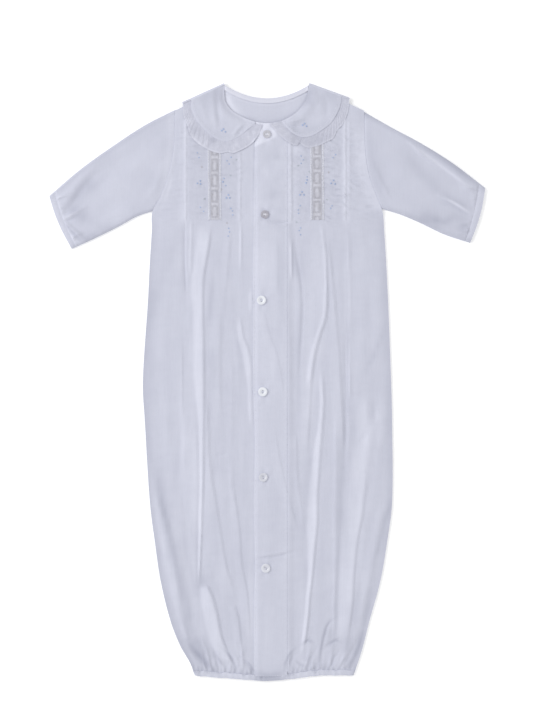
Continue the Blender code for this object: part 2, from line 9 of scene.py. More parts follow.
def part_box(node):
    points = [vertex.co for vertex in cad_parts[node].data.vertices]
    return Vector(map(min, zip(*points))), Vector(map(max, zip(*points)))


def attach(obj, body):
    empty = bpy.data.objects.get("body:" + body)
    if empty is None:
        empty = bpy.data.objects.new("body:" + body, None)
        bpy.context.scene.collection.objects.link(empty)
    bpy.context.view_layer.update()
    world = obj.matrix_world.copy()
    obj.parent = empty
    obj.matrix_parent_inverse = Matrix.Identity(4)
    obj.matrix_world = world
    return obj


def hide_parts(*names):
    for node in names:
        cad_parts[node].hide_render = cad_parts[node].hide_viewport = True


# A baby's daygown laid flat, front up. Across is in mm from the centre front, to the right
# as it lies. Down is in mm from the shoulder tops. Height is in mm above the table.

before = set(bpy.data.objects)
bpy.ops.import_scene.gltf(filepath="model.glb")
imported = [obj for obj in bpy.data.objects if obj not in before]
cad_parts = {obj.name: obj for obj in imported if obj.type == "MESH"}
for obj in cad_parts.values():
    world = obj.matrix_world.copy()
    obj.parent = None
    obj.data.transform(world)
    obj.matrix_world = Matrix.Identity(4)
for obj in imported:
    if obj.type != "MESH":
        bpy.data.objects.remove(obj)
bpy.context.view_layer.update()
print("frame loaded:", len(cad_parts), "nodes")

mm = 0.001
centreX = -1.75
topY = 297.85


# small helpers

def mix(a, b, part):
    return a + (b - a) * part


def ease(start, end, x):
    part = np.clip((x - start) / (end - start), 0, 1)
    return part * part * (3 - 2 * part)


def plateau(x, start, top, edge, end):
    # up from 0 to 1 between start and top, and down again between edge and end
    return ease(start, top, x) * (1 - ease(edge, end, x))


def bell(away, wide):
    return np.exp(-((away / wide) ** 2))


def readCurve(table, column, x):
    # smooth curve through one column of a table whose first column rises
    rows = np.array(table, float)
    xs, ys = rows[:, 0], rows[:, column]
    slopes = np.empty(len(xs))
    slopes[1:-1] = (ys[2:] - ys[:-2]) / (xs[2:] - xs[:-2])
    slopes[0] = (ys[1] - ys[0]) / (xs[1] - xs[0])
    slopes[-1] = (ys[-1] - ys[-2]) / (xs[-1] - xs[-2])
    x = np.clip(x, xs[0], xs[-1])
    k = np.clip(np.searchsorted(xs, x, side="right") - 1, 0, len(xs) - 2)
    span = xs[k + 1] - xs[k]
    t = (x - xs[k]) / span
    ends = (1 + 2 * t) * (1 - t) ** 2 * ys[k] + t * t * (3 - 2 * t) * ys[k + 1]
    return ends + t * (1 - t) * span * ((1 - t) * slopes[k] - t * slopes[k + 1])


def alongRows(rows, part):
    # a point on the smooth curve through evenly counted rows
    numbered = [(n, *row) for n, row in enumerate(rows)]
    place = np.asarray(part) * (len(rows) - 1)
    return [readCurve(numbered, c + 1, place) for c in range(len(rows[0]))]


def softNoise(x, y, seed):
    # smooth random waves from -1 to 1, one to each unit cell, the same on every run
    cellX, cellY = np.floor(x).astype(np.int64), np.floor(y).astype(np.int64)
    inX, inY = x - cellX, y - cellY
    inX, inY = inX * inX * (3 - 2 * inX), inY * inY * (3 - 2 * inY)

    def corner(a, b):
        value = (a * 374761 + b * 668265 + seed * 9277 + 12345) & 0xFFFFFFF
        value = ((value ^ (value >> 11)) * 1274127) & 0xFFFFFFF
        value = ((value ^ (value >> 13)) * 69069) & 0xFFFFFFF
        return ((value >> 6) & 0xFFFF) / 32767.5 - 1

    upper = mix(corner(cellX, cellY), corner(cellX + 1, cellY), inX)
    lower = mix(corner(cellX, cellY + 1), corner(cellX + 1, cellY + 1), inX)
    return mix(upper, lower, inY)


def toWorld(across, down, height):
    return np.stack([(across + centreX) * mm, (topY - down) * mm, height * mm], axis=-1)


def selectOnly(piece):
    bpy.ops.object.select_all(action="DESELECT")
    piece.select_set(True)
    bpy.context.view_layer.objects.active = piece


# The tone also carries painted shade and painted light, not only layers of cloth.
plainTone = 0.4  # how white the cloth looks: 0.4 is one layer over another, 1 is several
toneRange = (-0.5, 1.0)


def clothFromGrid(name, points, stuff, wall=0.0, ring=False, keep=None, flip=False, flat=None, tone=None):
    # a sheet through a grid of points (rows, columns, 3) in metres, its own wall inwards
    rows, columns = points.shape[:2]
    number = np.arange(rows * columns).reshape(rows, columns)
    if ring:
        number = np.concatenate([number, number[:, :1]], axis=1)
    quads = np.stack([number[:-1, :-1], number[:-1, 1:], number[1:, 1:], number[1:, :-1]], axis=-1)
    if keep is not None:
        quads = quads[keep]
    quads = quads.reshape(-1, 4)
    if flip:
        quads = quads[:, ::-1]
    mesh = bpy.data.meshes.new(name)
    mesh.from_pydata(points.reshape(-1, 3).tolist(), [], quads.tolist())
    if flat is None:
        run = np.linalg.norm(np.diff(points, axis=1, prepend=points[:, :1]), axis=-1).cumsum(1)
        drop = np.linalg.norm(np.diff(points, axis=0, prepend=points[:1]), axis=-1).cumsum(0)
        flat = np.stack([run, -drop], axis=-1)
    uv = mesh.uv_layers.new(name="clothUV")
    corners = np.empty(len(mesh.loops), np.int32)
    mesh.loops.foreach_get("vertex_index", corners)
    uv.data.foreach_set("uv", (flat.reshape(-1, 2)[corners] * 10).astype(np.float32).ravel())
    mesh.polygons.foreach_set("use_smooth", [True] * len(mesh.polygons))
    layers = mesh.attributes.new("tone", "FLOAT", "POINT")
    tones = np.full(rows * columns, plainTone) if tone is None else np.clip(tone, *toneRange).ravel()
    layers.data.foreach_set("value", tones.astype(np.float32))
    mesh.update()
    piece = bpy.data.objects.new(name, mesh)
    bpy.context.scene.collection.objects.link(piece)
    mesh.materials.append(stuff)
    if wall:
        thicken = piece.modifiers.new("wall", "SOLIDIFY")
        thicken.thickness = wall * mm
        thicken.offset = -1
        selectOnly(piece)
        bpy.ops.object.modifier_apply(modifier="wall")
        bpy.ops.object.shade_smooth_by_angle(angle=math.radians(55))
    return piece


def finishPiece(piece, *nodes, slot=None):
    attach(piece, "root")
    if nodes:
        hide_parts(*nodes)
    return piece


# finishes

def setSockets(node, sockets):
    for socket, value in sockets.items():
        node.inputs[socket.replace("_", " ")].default_value = value
    return node


def addNode(nodes, kind, **sockets):
    return setSockets(nodes.new("ShaderNode" + kind), sockets)


def mixColours(nodes, blend="MIX", **sockets):
    node = nodes.new("ShaderNodeMix")
    node.data_type, node.blend_type = "RGBA", blend
    return setSockets(node, sockets)


def addRamp(nodes, low, high, dark, pale=(1, 1, 1)):
    ramp = nodes.new("ShaderNodeValToRGB")
    ends = ramp.color_ramp.elements
    ends[0].position, ends[1].position = low, high
    ends[0].color, ends[1].color = (*dark, 1), (*pale, 1)
    return ramp


def newFinish(name, colour, rough, **sockets):
    stuff = bpy.data.materials.new(name)
    stuff.use_nodes = True
    nodes = stuff.node_tree.nodes
    shader = setSockets(nodes["Principled BSDF"], {"Base Color": (*colour, 1), "Roughness": rough, **sockets})
    return stuff, nodes, stuff.node_tree.links, shader


def layeredColour(nodes, links, shader, look):
    # from the colour of thin cloth to that of several layers by the tone, which also carries painted shade and
    # painted light, with a slow cloudiness and slubs
    place = addNode(nodes, "TexCoord")
    layers = addNode(nodes, "Attribute")
    layers.attribute_name = "tone"
    span = addNode(nodes, "MapRange", From_Min=toneRange[0], From_Max=toneRange[1])
    links.new(layers.outputs["Fac"], span.inputs["Value"])
    layered = mixColours(nodes, A=(*look["thin"], 1), B=(*look["thick"], 1))
    links.new(span.outputs["Result"], layered.inputs["Factor"])
    stretch = addNode(nodes, "Mapping", Scale=(900, 45, 1))  # slubs are long and narrow
    links.new(place.outputs["Object"], stretch.inputs["Vector"])
    cloudScale, depth = look["clouds"]
    last = layered.outputs["Result"]
    for vector, scale, detail, high, darkest in (
        (place.outputs["Object"], cloudScale, 3.0, 0.7, (1 - depth, 1 - depth, 1 - depth * 0.8)),
        (stretch.outputs["Vector"], 1.0, 1.0, 0.6, (1 - slubDepth,) * 3),
    ):
        cloud = addNode(nodes, "TexNoise", Scale=scale, Detail=detail)
        ramp = addRamp(nodes, 0.3, high, darkest)
        times = mixColours(nodes, "MULTIPLY", Factor=1.0)
        links.new(vector, cloud.inputs["Vector"])
        links.new(cloud.outputs["Fac"], ramp.inputs["Fac"])
        links.new(last, times.inputs["A"])
        links.new(ramp.outputs["Color"], times.inputs["B"])
        last = times.outputs["Result"]
    links.new(last, shader.inputs["Base Color"])


def threadBump(nodes, links, shader, look):
    # crossing threads from the piece's own UV map, and a fine crumple over them
    (pitch, weave), (crumple, crumpleSize) = look["weave"], look["crumple"]
    place = addNode(nodes, "TexCoord")
    both = addNode(nodes, "Math")
    both.operation = "MAXIMUM"
    for socket, direction in enumerate(("X", "Y")):
        thread = addNode(nodes, "TexWave", Scale=0.314 / (pitch * 0.01), Distortion=0.6, Detail=1.0)
        thread.bands_direction = direction
        links.new(place.outputs["UV"], thread.inputs["Vector"])
        links.new(thread.outputs["Fac"], both.inputs[socket])
    weaveBump = addNode(nodes, "Bump", Strength=weave, Distance=0.0001)
    links.new(both.outputs[0], weaveBump.inputs["Height"])
    cloud = addNode(nodes, "TexNoise", Scale=1000.0 / crumpleSize, Detail=2.0)
    links.new(place.outputs["Object"], cloud.inputs["Vector"])
    crumpleBump = addNode(nodes, "Bump", Strength=crumple, Distance=0.0006)
    links.new(cloud.outputs["Fac"], crumpleBump.inputs["Height"])
    links.new(weaveBump.outputs["Normal"], crumpleBump.inputs["Normal"])
    links.new(crumpleBump.outputs["Normal"], shader.inputs["Normal"])


slubDepth = 0.02
clothFinishes = {
    # sheen: weight, roughness; clouds: scale, depth
    # weave: thread pitch in mm, depth; crumple: depth, size in mm
    # thin and thick are the colours at the two ends of the tone: one layer and several, and with them painted
    # shade and painted light
    "cottonBatiste": {
        "thin": (0.395, 0.410, 0.505), "thick": (0.755, 0.770, 0.880), "rough": 0.88, "sheen": (0.16, 0.45),
        "clouds": (42, 0.035), "weave": (0.45, 0.35), "crumple": (0.2, 3.2),
    },
    "biasBinding": {
        "thin": (0.54, 0.55, 0.65), "thick": (0.84, 0.85, 0.95), "rough": 0.85, "sheen": (0.2, 0.4),
        "clouds": (60, 0.03), "weave": (0.45, 0.35), "crumple": (0.12, 3.0),
    },
    "frillLace": {
        "thin": (0.395, 0.408, 0.50), "thick": (0.73, 0.74, 0.845), "rough": 0.92, "sheen": (0.1, 0.5),
        "clouds": (250, 0.06), "weave": (0.7, 0.6), "crumple": (0.3, 1.6),
    },
    "insertionLace": {
        "thin": (0.37, 0.36, 0.39), "thick": (0.72, 0.73, 0.825), "rough": 0.92, "sheen": (0.0, 0.5),
        "clouds": (300, 0.05), "weave": (0.7, 0.6), "crumple": (0.3, 1.6),
    },
}
threadFinishes = {  # colour, roughness
    "whiteThread": ((0.83, 0.84, 0.92), 0.6), "blueThread": ((0.43, 0.54, 0.78), 0.5),
    "greenThread": ((0.49, 0.56, 0.58), 0.5), "tanThread": ((0.57, 0.53, 0.53), 0.6),
}


def clothFinish(name):
    look = clothFinishes[name]
    sheen, sheenRough = look["sheen"]
    stuff, nodes, links, shader = newFinish(
        name, look["thin"], look["rough"], Sheen_Weight=sheen, Sheen_Roughness=sheenRough)
    layeredColour(nodes, links, shader, look)
    threadBump(nodes, links, shader, look)
    return stuff


def mottled(name, colour, other, rough, scale, detail, **sockets):
    # a finish with a slow change of colour over the piece
    stuff, nodes, links, shader = newFinish(name, colour, rough, **sockets)
    place = addNode(nodes, "TexCoord")
    cloud = addNode(nodes, "TexNoise", Scale=scale, Detail=detail)
    ramp = addRamp(nodes, 0.35, 0.62, other, colour)
    links.new(place.outputs["Object"], cloud.inputs["Vector"])
    links.new(cloud.outputs["Fac"], ramp.inputs["Fac"])
    links.new(ramp.outputs["Color"], shader.inputs["Base Color"])
    return stuff


def threadFinish(name, colour, rough):
    darker = [0.82 * c for c in colour]
    return mottled(name, colour, darker, rough, 900, 1.0, Sheen_Weight=0.25, Sheen_Roughness=0.35)


def pearl(name, colour, cloudy):
    return mottled(name, colour, cloudy, 0.28, 240, 2.0, Coat_Weight=0.35, Coat_Roughness=0.12)


batisteCloth = clothFinish("cottonBatiste")
threads = {name: threadFinish(name, *look) for name, look in threadFinishes.items()}
print("finishes made")


# the gown's cut, the same sizes as the solids

body = {
    "wall": 1.0, "gap": 0.3,
    "neckLeft": (-40.5, 1.7), "neckRight": (43.1, 1.3),
    "tipLeft": -90.5, "tipRight": 98.5, "tipDown": 27.0,  # where the shoulders end
    "sideGuide": 81.5, "sideReach": 9.5,  # last straight column of the fronts, and what lies beyond it
    "neckMiddle": 1.3, "neckHalf": 41.8, "frontNeckDeep": 38.0, "neckTop": 1.5, "backNeckDeep": 13.0,
    "hemDown": 596.5,
    "hem": [  # across, down
        (-75, 590.6), (-65.5, 591.8), (-50.5, 593.2), (-37.5, 594), (-20.5, 595.2), (-0.5, 596.5),
        (19.5, 595.4), (34.5, 593.6), (50.5, 591.6), (66.5, 591.2), (88, 591),
    ],
    "casingWide": 5.5, "yokeFoot": 56.0, "gatherTop": 540.0,
    "padAcross": 88.0, "padDown": 74.0, "padFade": 20.0,
    "edges": [  # down, left, right
        (27, -90.5, 98.5), (56, -91.0, 99.0), (76, -93.5, 100.5), (96, -98.5, 104.8),
        (114, -105.5, 111.5), (128, -113.0, 117.0), (146, -113.5, 118.5), (178, -115.5, 120.5),
        (218, -117.5, 122.5), (298, -122.5, 125.5), (338, -120.5, 126.5), (418, -115.5, 126.5),
        (458, -110.5, 121.5), (498, -104.5, 114.5), (538, -94.5, 103.5), (562, -84.9, 97.5),
        (578, -75.7, 92.5), (590, -70.6, 88.0),
    ],
}
layer = body["wall"] + body["gap"]


def leftEdge(down):
    return readCurve(body["edges"], 1, down)


def rightEdge(down):
    return readCurve(body["edges"], 2, down)


def hemLine(across):
    return readCurve(body["hem"], 1, across)


def neckSlack(down):
    # the left side of the neckline hangs wider than an even curve
    return 3.8 * plateau(down, 0, 20, 25, 38)


def frontNeck(across):
    swing = np.linspace(0, np.pi / 2, 200)
    down = body["neckTop"] + body["frontNeckDeep"] * np.cos(swing)
    out = body["neckHalf"] * np.sin(swing)
    left = np.minimum.accumulate(-out - neckSlack(down))
    side = across - body["neckMiddle"]
    return np.where(side < 0, np.interp(side, left[::-1], down[::-1]), np.interp(side, out, down))


def backNeck(across):
    part = np.minimum(1, np.abs(across - body["neckMiddle"]) / body["neckHalf"])
    return body["neckTop"] + body["backNeckDeep"] * (1 - part * part)


def shoulderLine(across):
    lines = []
    for (x, y), tip in ((body["neckLeft"], body["tipLeft"]), (body["neckRight"], body["tipRight"])):
        lines.append(mix(y, body["tipDown"], (across - x) / (tip - x)))
    return np.where(across < 0, *lines)


def pad(across, down):
    # how much the back of the collar lifts what lies on it
    size = (np.abs(across / body["padAcross"]) ** 4 + np.abs(down / body["padDown"]) ** 4) ** 0.25
    return layer * (1 - ease(0, body["padFade"], (size - 1) * body["padDown"]))


# Flattened pleats and drapes. Each slopes up from its left edge to its right
# one (lean 1) or down (lean -1), so it catches the light or loses it. Sizes in mm.
pleats = [
    # rise, white (paler doubled cloth with painted light, below 0 painted shade), lean, length of its fading
    # ends, then rows of down, left, right
    (2.2, 0.56, 1, 26, [
        (136, -68.5, -54.5), (161, -69.5, -57.2), (178, -72, -60), (191, -74, -62.2),
        (208, -75.5, -63.2), (231, -73, -63), (264, -72.8, -62.5), (298, -71.2, -62.2),
        (331, -68.2, -62.2), (364, -66.4, -62.6), (396, -66.5, -63), (436, -67.1, -64),
        (476, -68.3, -65.5), (505, -69, -66.5),
    ]),
    (1.0, 0.3, 1, 8, [(134, -76, -73.6), (150, -76.2, -73.8), (170, -77, -74.5), (192, -76.8, -74.2)]),
    (1.1, 0.0, -1, 14, [(138, -92, -83), (152, -94, -86), (168, -99, -91), (190, -104, -96)]),
    (1.0, 0.2, 1, 40, [
        (320, -86, -71), (360, -85, -69), (396, -84.5, -68.5), (436, -82.5, -69), (476, -78.5, -69.5),
        (520, -75.5, -70),
    ]),
    (2.2, 0.2, 1, 22, [
        (366, -121, -115.5), (380, -120, -113.8), (409, -116, -108.8), (436, -111, -100.5),
        (456, -107, -95.5), (486, -100, -90.5), (519, -92, -85.5), (546, -85, -80.5), (566, -78, -73),
    ]),
    (1.3, -0.1, -1, 25, [
        (440, -97, -87), (470, -92, -82), (500, -86.5, -77.5), (530, -82, -74), (560, -75, -68),
    ]),
    (1.6, 0.08, 1, 25, [
        (310, -61.5, -58.8), (346, -62, -57.6), (372, -62, -56.5), (395, -61.5, -54.2),
        (416, -61, -50.5), (449, -59, -45.5), (479, -55, -40.5), (499, -49, -34.8), (520, -42, -29.5),
    ]),
    (3.0, 0.5, 1, 7, [
        (499, -66.5, -60.5), (513, -65.5, -53.5), (533, -61.5, -48.5), (553, -57, -44.5),
        (566, -51.5, -39.5), (580, -43, -33),
    ]),
    (2.0, 0.18, 1, 7, [(518, -37.5, -32.5), (536, -34.5, -27.5), (556, -31.5, -25.5), (576, -28.5, -23)]),
    (1.5, 0.05, 1, 30, [
        (370, -38, -35), (406, -37, -32.2), (429, -36, -28.8), (453, -34.5, -26.2), (479, -32.5, -24.5),
        (503, -29.5, -20), (533, -26.5, -17.2), (560, -23.5, -16.5),
    ]),
    (1.5, 0.42, 1, 16, [
        (230, -30, -26), (254, -28, -22.2), (266, -25, -17.5), (284, -20.5, -14.6), (318, -17.5, -14),
        (345, -16.5, -13.8),
    ]),
    (1.1, 0.26, 1, 18, [(134, -27.2, -24.6), (150, -27, -24.3), (168, -26.8, -24.4), (190, -27, -24.6)]),
    (1.0, 0.4, 1, 8, [(203, -16.6, -14), (216, -16.6, -13.8), (230, -16.2, -13.6)]),
    (1.3, 0.0, 1, 18, [(142, -42, -33.6), (165, -43, -34.6), (190, -45, -36.2), (212, -47, -38)]),
    (0.9, 0.16, 1, 16, [(152, -13, 11), (180, -14, 11.3), (215, -14, 11.2)]),
    (1.3, 0.45, 1, 14, [(152, 22.6, 25.6), (170, 23.4, 25.9), (200, 23.8, 26.4)]),
    (1.7, 0.05, 1, 30, [
        (140, 31, 50), (151, 31.5, 54.5), (164, 32.5, 59.5), (181, 34.5, 60.5), (198, 36.5, 60.8),
        (221, 38, 60.8), (236, 37.5, 59), (251, 36, 54), (266, 34.5, 50), (281, 33.5, 47),
        (298, 33, 45.2), (330, 32, 43.2), (372, 31, 41.5),
    ]),
    (1.2, 0.35, 1, 12, [
        (138, 52.5, 55.8), (164, 56.5, 59.5), (198, 58, 60.8), (221, 57.5, 60.6), (236, 54.5, 58.5),
        (251, 49.5, 53.5), (266, 45, 49.6), (281, 42, 46.6), (304, 39.5, 44.2),
    ]),
    (1.5, 0.1, 1, 24, [
        (150, 60.6, 62), (168, 61.5, 63.4), (198, 62.2, 66.8), (231, 62.5, 69.8), (258, 62, 72.1),
        (291, 63, 74), (330, 66, 76.3), (370, 68, 77.8),
    ]),
    (1.8, -0.12, -1, 30, [
        (325, 70.5, 80), (346, 70, 79.5), (379, 70, 78.3), (403, 69.5, 76.4), (446, 69, 74.8),
        (479, 69, 73.6), (513, 68.6, 72.4), (562, 68, 71),
    ]),
    (2.0, 0.36, 1, 26, [
        (300, 82, 99), (325, 81.6, 103), (346, 80.8, 106), (363, 80.2, 104.5), (386, 78.9, 101.2),
        (429, 76.3, 96.2), (456, 75.3, 91.2), (489, 74, 87.8), (519, 73, 86.2), (562, 71.5, 80.5),
    ]),
    (0.9, 0.34, 1, 14, [(150, 80.6, 82.6), (206, 82, 84), (250, 82.4, 84.2), (318, 82.4, 84.4)]),
    (1.3, 0.2, 1, 30, [
        (300, 112.5, 119), (318, 111.4, 120), (331, 107.8, 119.5), (346, 102.8, 119), (358, 96.5, 116),
        (384, 91, 112),
    ]),
    (1.5, 0.1, 1, 40, [
        (395, 116.5, 124), (419, 114, 122.4), (429, 109.5, 117.8), (453, 104, 112.8),
        (476, 99.5, 107.8), (499, 95.5, 104), (513, 92.5, 99.8), (533, 90.5, 97), (560, 87.5, 95),
    ]),
    (0.9, 0.06, 1, 20, [(222, -9.5, -4), (250, -4.5, 3.2), (274, 3, 11.5), (318, 9, 19)]),
    (1.0, 0.0, 1, 24, [(336, 2.5, 8), (353, 4, 10), (396, 10, 18), (429, 19, 27), (455, 26, 34)]),
    (2.2, 0.56, 1, 26, [
        (280, 53, 56), (304, 54, 57), (318, 54.3, 57.8), (346, 51.3, 56), (366, 48.3, 54.4),
        (386, 45.5, 53), (409, 42.5, 51.4), (436, 41.5, 51.2), (456, 41.2, 49.5), (479, 41.5, 47.4),
        (496, 41.5, 45.8), (513, 40, 43.8), (533, 38.4, 42.2), (559, 34.9, 38.8), (576, 32.5, 36),
    ]),
    (1.4, 0.0, 1, 14, [(346, 21, 30), (379, 24, 31.1), (400, 27.2, 34.5), (419, 31.5, 37.9), (446, 37, 41)]),
    (0.9, 0.12, 1, 14, [(136, 84, 93), (152, 85, 97), (172, 86, 101), (196, 87, 104)]),
    (1.1, 0.0, 1, 50, [(190, -112, -100), (260, -110, -98), (330, -106, -97), (400, -98, -92)]),
    (0.9, 0.05, 1, 40, [(220, -97, -90.5), (290, -95, -90), (350, -92, -88.5)]),
    (0.8, 0.05, 1, 30, [(240, -88.5, -84), (300, -88, -83.5), (345, -87, -83)]),
    (1.1, 0.0, 1, 50, [(180, 104, 116), (250, 104, 118), (300, 103, 118)]),
    (0.9, 0.08, 1, 40, [(180, 88, 97), (250, 90, 99), (310, 90, 99)]),
    (0.9, 0.05, 1, 30, [(220, -58, -45), (280, -57, -46), (340, -55, -45)]),
    (0.8, 0.0, 1, 30, [(260, -42, -34), (320, -42, -33), (380, -41, -34)]),
]

pleatLook = {"riseScale": 0.62, "layersLightAndShadeScale": 0.55, "dropWide": 2.0, "feather": 3.2}

# Narrow creases: width, rise (below 0 for a groove), then points of across and down.
frontLines = [
    (1.3, -1.0, [(-80.3, 138), (-80.8, 158), (-80.6, 180), (-79.5, 206)]),
    (1.2, -0.9, [(-33.4, 146), (-34.6, 168), (-36.4, 190), (-38.5, 212)]),
    (1.4, -0.8, [(29.2, 152), (32, 176), (36, 200), (37.6, 222), (36.4, 250), (33.6, 290)]),
    (1.6, -0.9, [(79.5, 250), (80.3, 300), (80.3, 350), (78.6, 385)]),
    (1.3, -0.8, [(30.4, 372), (35, 404), (38.6, 426), (41, 449)]),
    (1.3, -0.9, [(112, 316), (107.6, 331), (102.6, 346), (94.5, 358)]),
    (1.2, -0.9, [(-9, 474.5), (3, 473.2), (14, 471.6), (28, 467.6)]),
    (1.5, 0.7, [(-8, 471.6), (4, 470.4), (15, 468.6), (27, 464.8)]),
    (1.1, -0.8, [(1, 137.5), (12, 139), (20, 138.6), (27, 136.4)]),
    (1.4, 0.6, [(2, 140.6), (13, 142), (22, 141.2), (28, 138.8)]),
    (1.2, -0.6, [(-50.5, 372), (-44, 371), (-37, 368.6)]),
    (1.2, -1.5, [(56.2, 582), (56.6, 572), (58.2, 557), (61.6, 544), (65, 536.6), (68.8, 536)]),
    (1.2, -1.0, [(38, 562), (41.5, 556.6), (45, 555), (49.6, 559.6)]),
    (1.2, -1.2, [(58.6, 565), (63, 560.4), (69, 556.8), (74.5, 555), (77, 557.6)]),
    (1.5, -1.9, [(79, 582), (84, 571), (90, 561), (94, 553), (96, 543)]),
    (1.8, -2.0, [(-77, 556), (-72, 567), (-65, 575), (-57, 582.6)]),
    (1.4, -1.4, [(-45, 561), (-40, 566.4), (-35, 572), (-30, 579)]),
    (1.4, -1.4, [(-24, 573), (-19, 578), (-14, 584), (-9.5, 589)]),
    (1.4, -1.3, [(24, 586), (25, 578), (28, 573), (31.6, 570)]),
    (1.2, -1.0, [(-26.5, 556), (-25, 566), (-25, 578)]),
    (1.3, -1.0, [(46, 575), (49, 569), (51, 563)]),
    (1.3, -1.1, [(-52, 565), (-49, 574), (-47, 582)]),
    (1.2, -1.0, [(66, 583), (68, 575), (73, 568)]),
    (1.6, 1.0, [(-62, 577), (-59.5, 584)]),
    (1.6, 1.0, [(71, 586), (75, 578), (80, 570)]),
]
sleeveLines = {
    "left": [
        (2.0, 1.6, [(-204, 134.5), (-198, 133), (-190, 128.5), (-180, 123)]),
        (1.6, -0.8, [(-203, 138), (-196, 137), (-188, 133.5)]),
        (1.8, 1.4, [(-203, 136), (-196, 142), (-189, 149), (-180, 156)]),
        (4.5, 1.2, [(-205, 126), (-197, 115), (-186, 98), (-172, 84)]),
        (3.0, -0.7, [(-200, 130), (-190, 116), (-180, 102), (-166, 88)]),
        (6.0, 0.9, [(-196, 98), (-176, 84), (-152, 70), (-130, 58)]),
        (9.0, 0.9, [(-168, 118), (-146, 98), (-124, 80), (-104, 66)]),
        (6.0, 0.6, [(-170, 142), (-146, 130), (-124, 118)]),
        (1.6, 0.8, [(-212, 118), (-205, 113), (-196, 109)]),
        (1.6, 0.8, [(-196, 158), (-190, 152), (-184, 149)]),
        (3.6, 0.4, [(-122, 120), (-110, 104), (-101, 82)]),
    ],
    "right": [
        (2.2, 2.0, [(174, 112.6), (182, 116.4), (190, 119.6), (202, 127)]),
        (1.8, -0.8, [(172, 116), (182, 120.4), (192, 124.4), (203, 131)]),
        (1.8, 1.4, [(146, 61), (156, 71), (166, 78), (176, 84)]),
        (4.0, 1.0, [(168, 74), (184, 84), (200, 96), (213, 108)]),
        (2.6, 1.0, [(190, 92), (202, 104), (211, 114)]),
        (3.0, 1.2, [(162, 141), (176, 141), (190, 146)]),
        (9.0, 0.9, [(110, 62), (132, 80), (156, 98), (176, 108)]),
        (7.0, 0.7, [(122, 116), (146, 122), (172, 134)]),
        (1.6, 0.9, [(192, 150), (200, 147), (207, 146)]),
        (2.6, 0.7, [(126, 118), (116, 100), (107, 80)]),
    ],
}
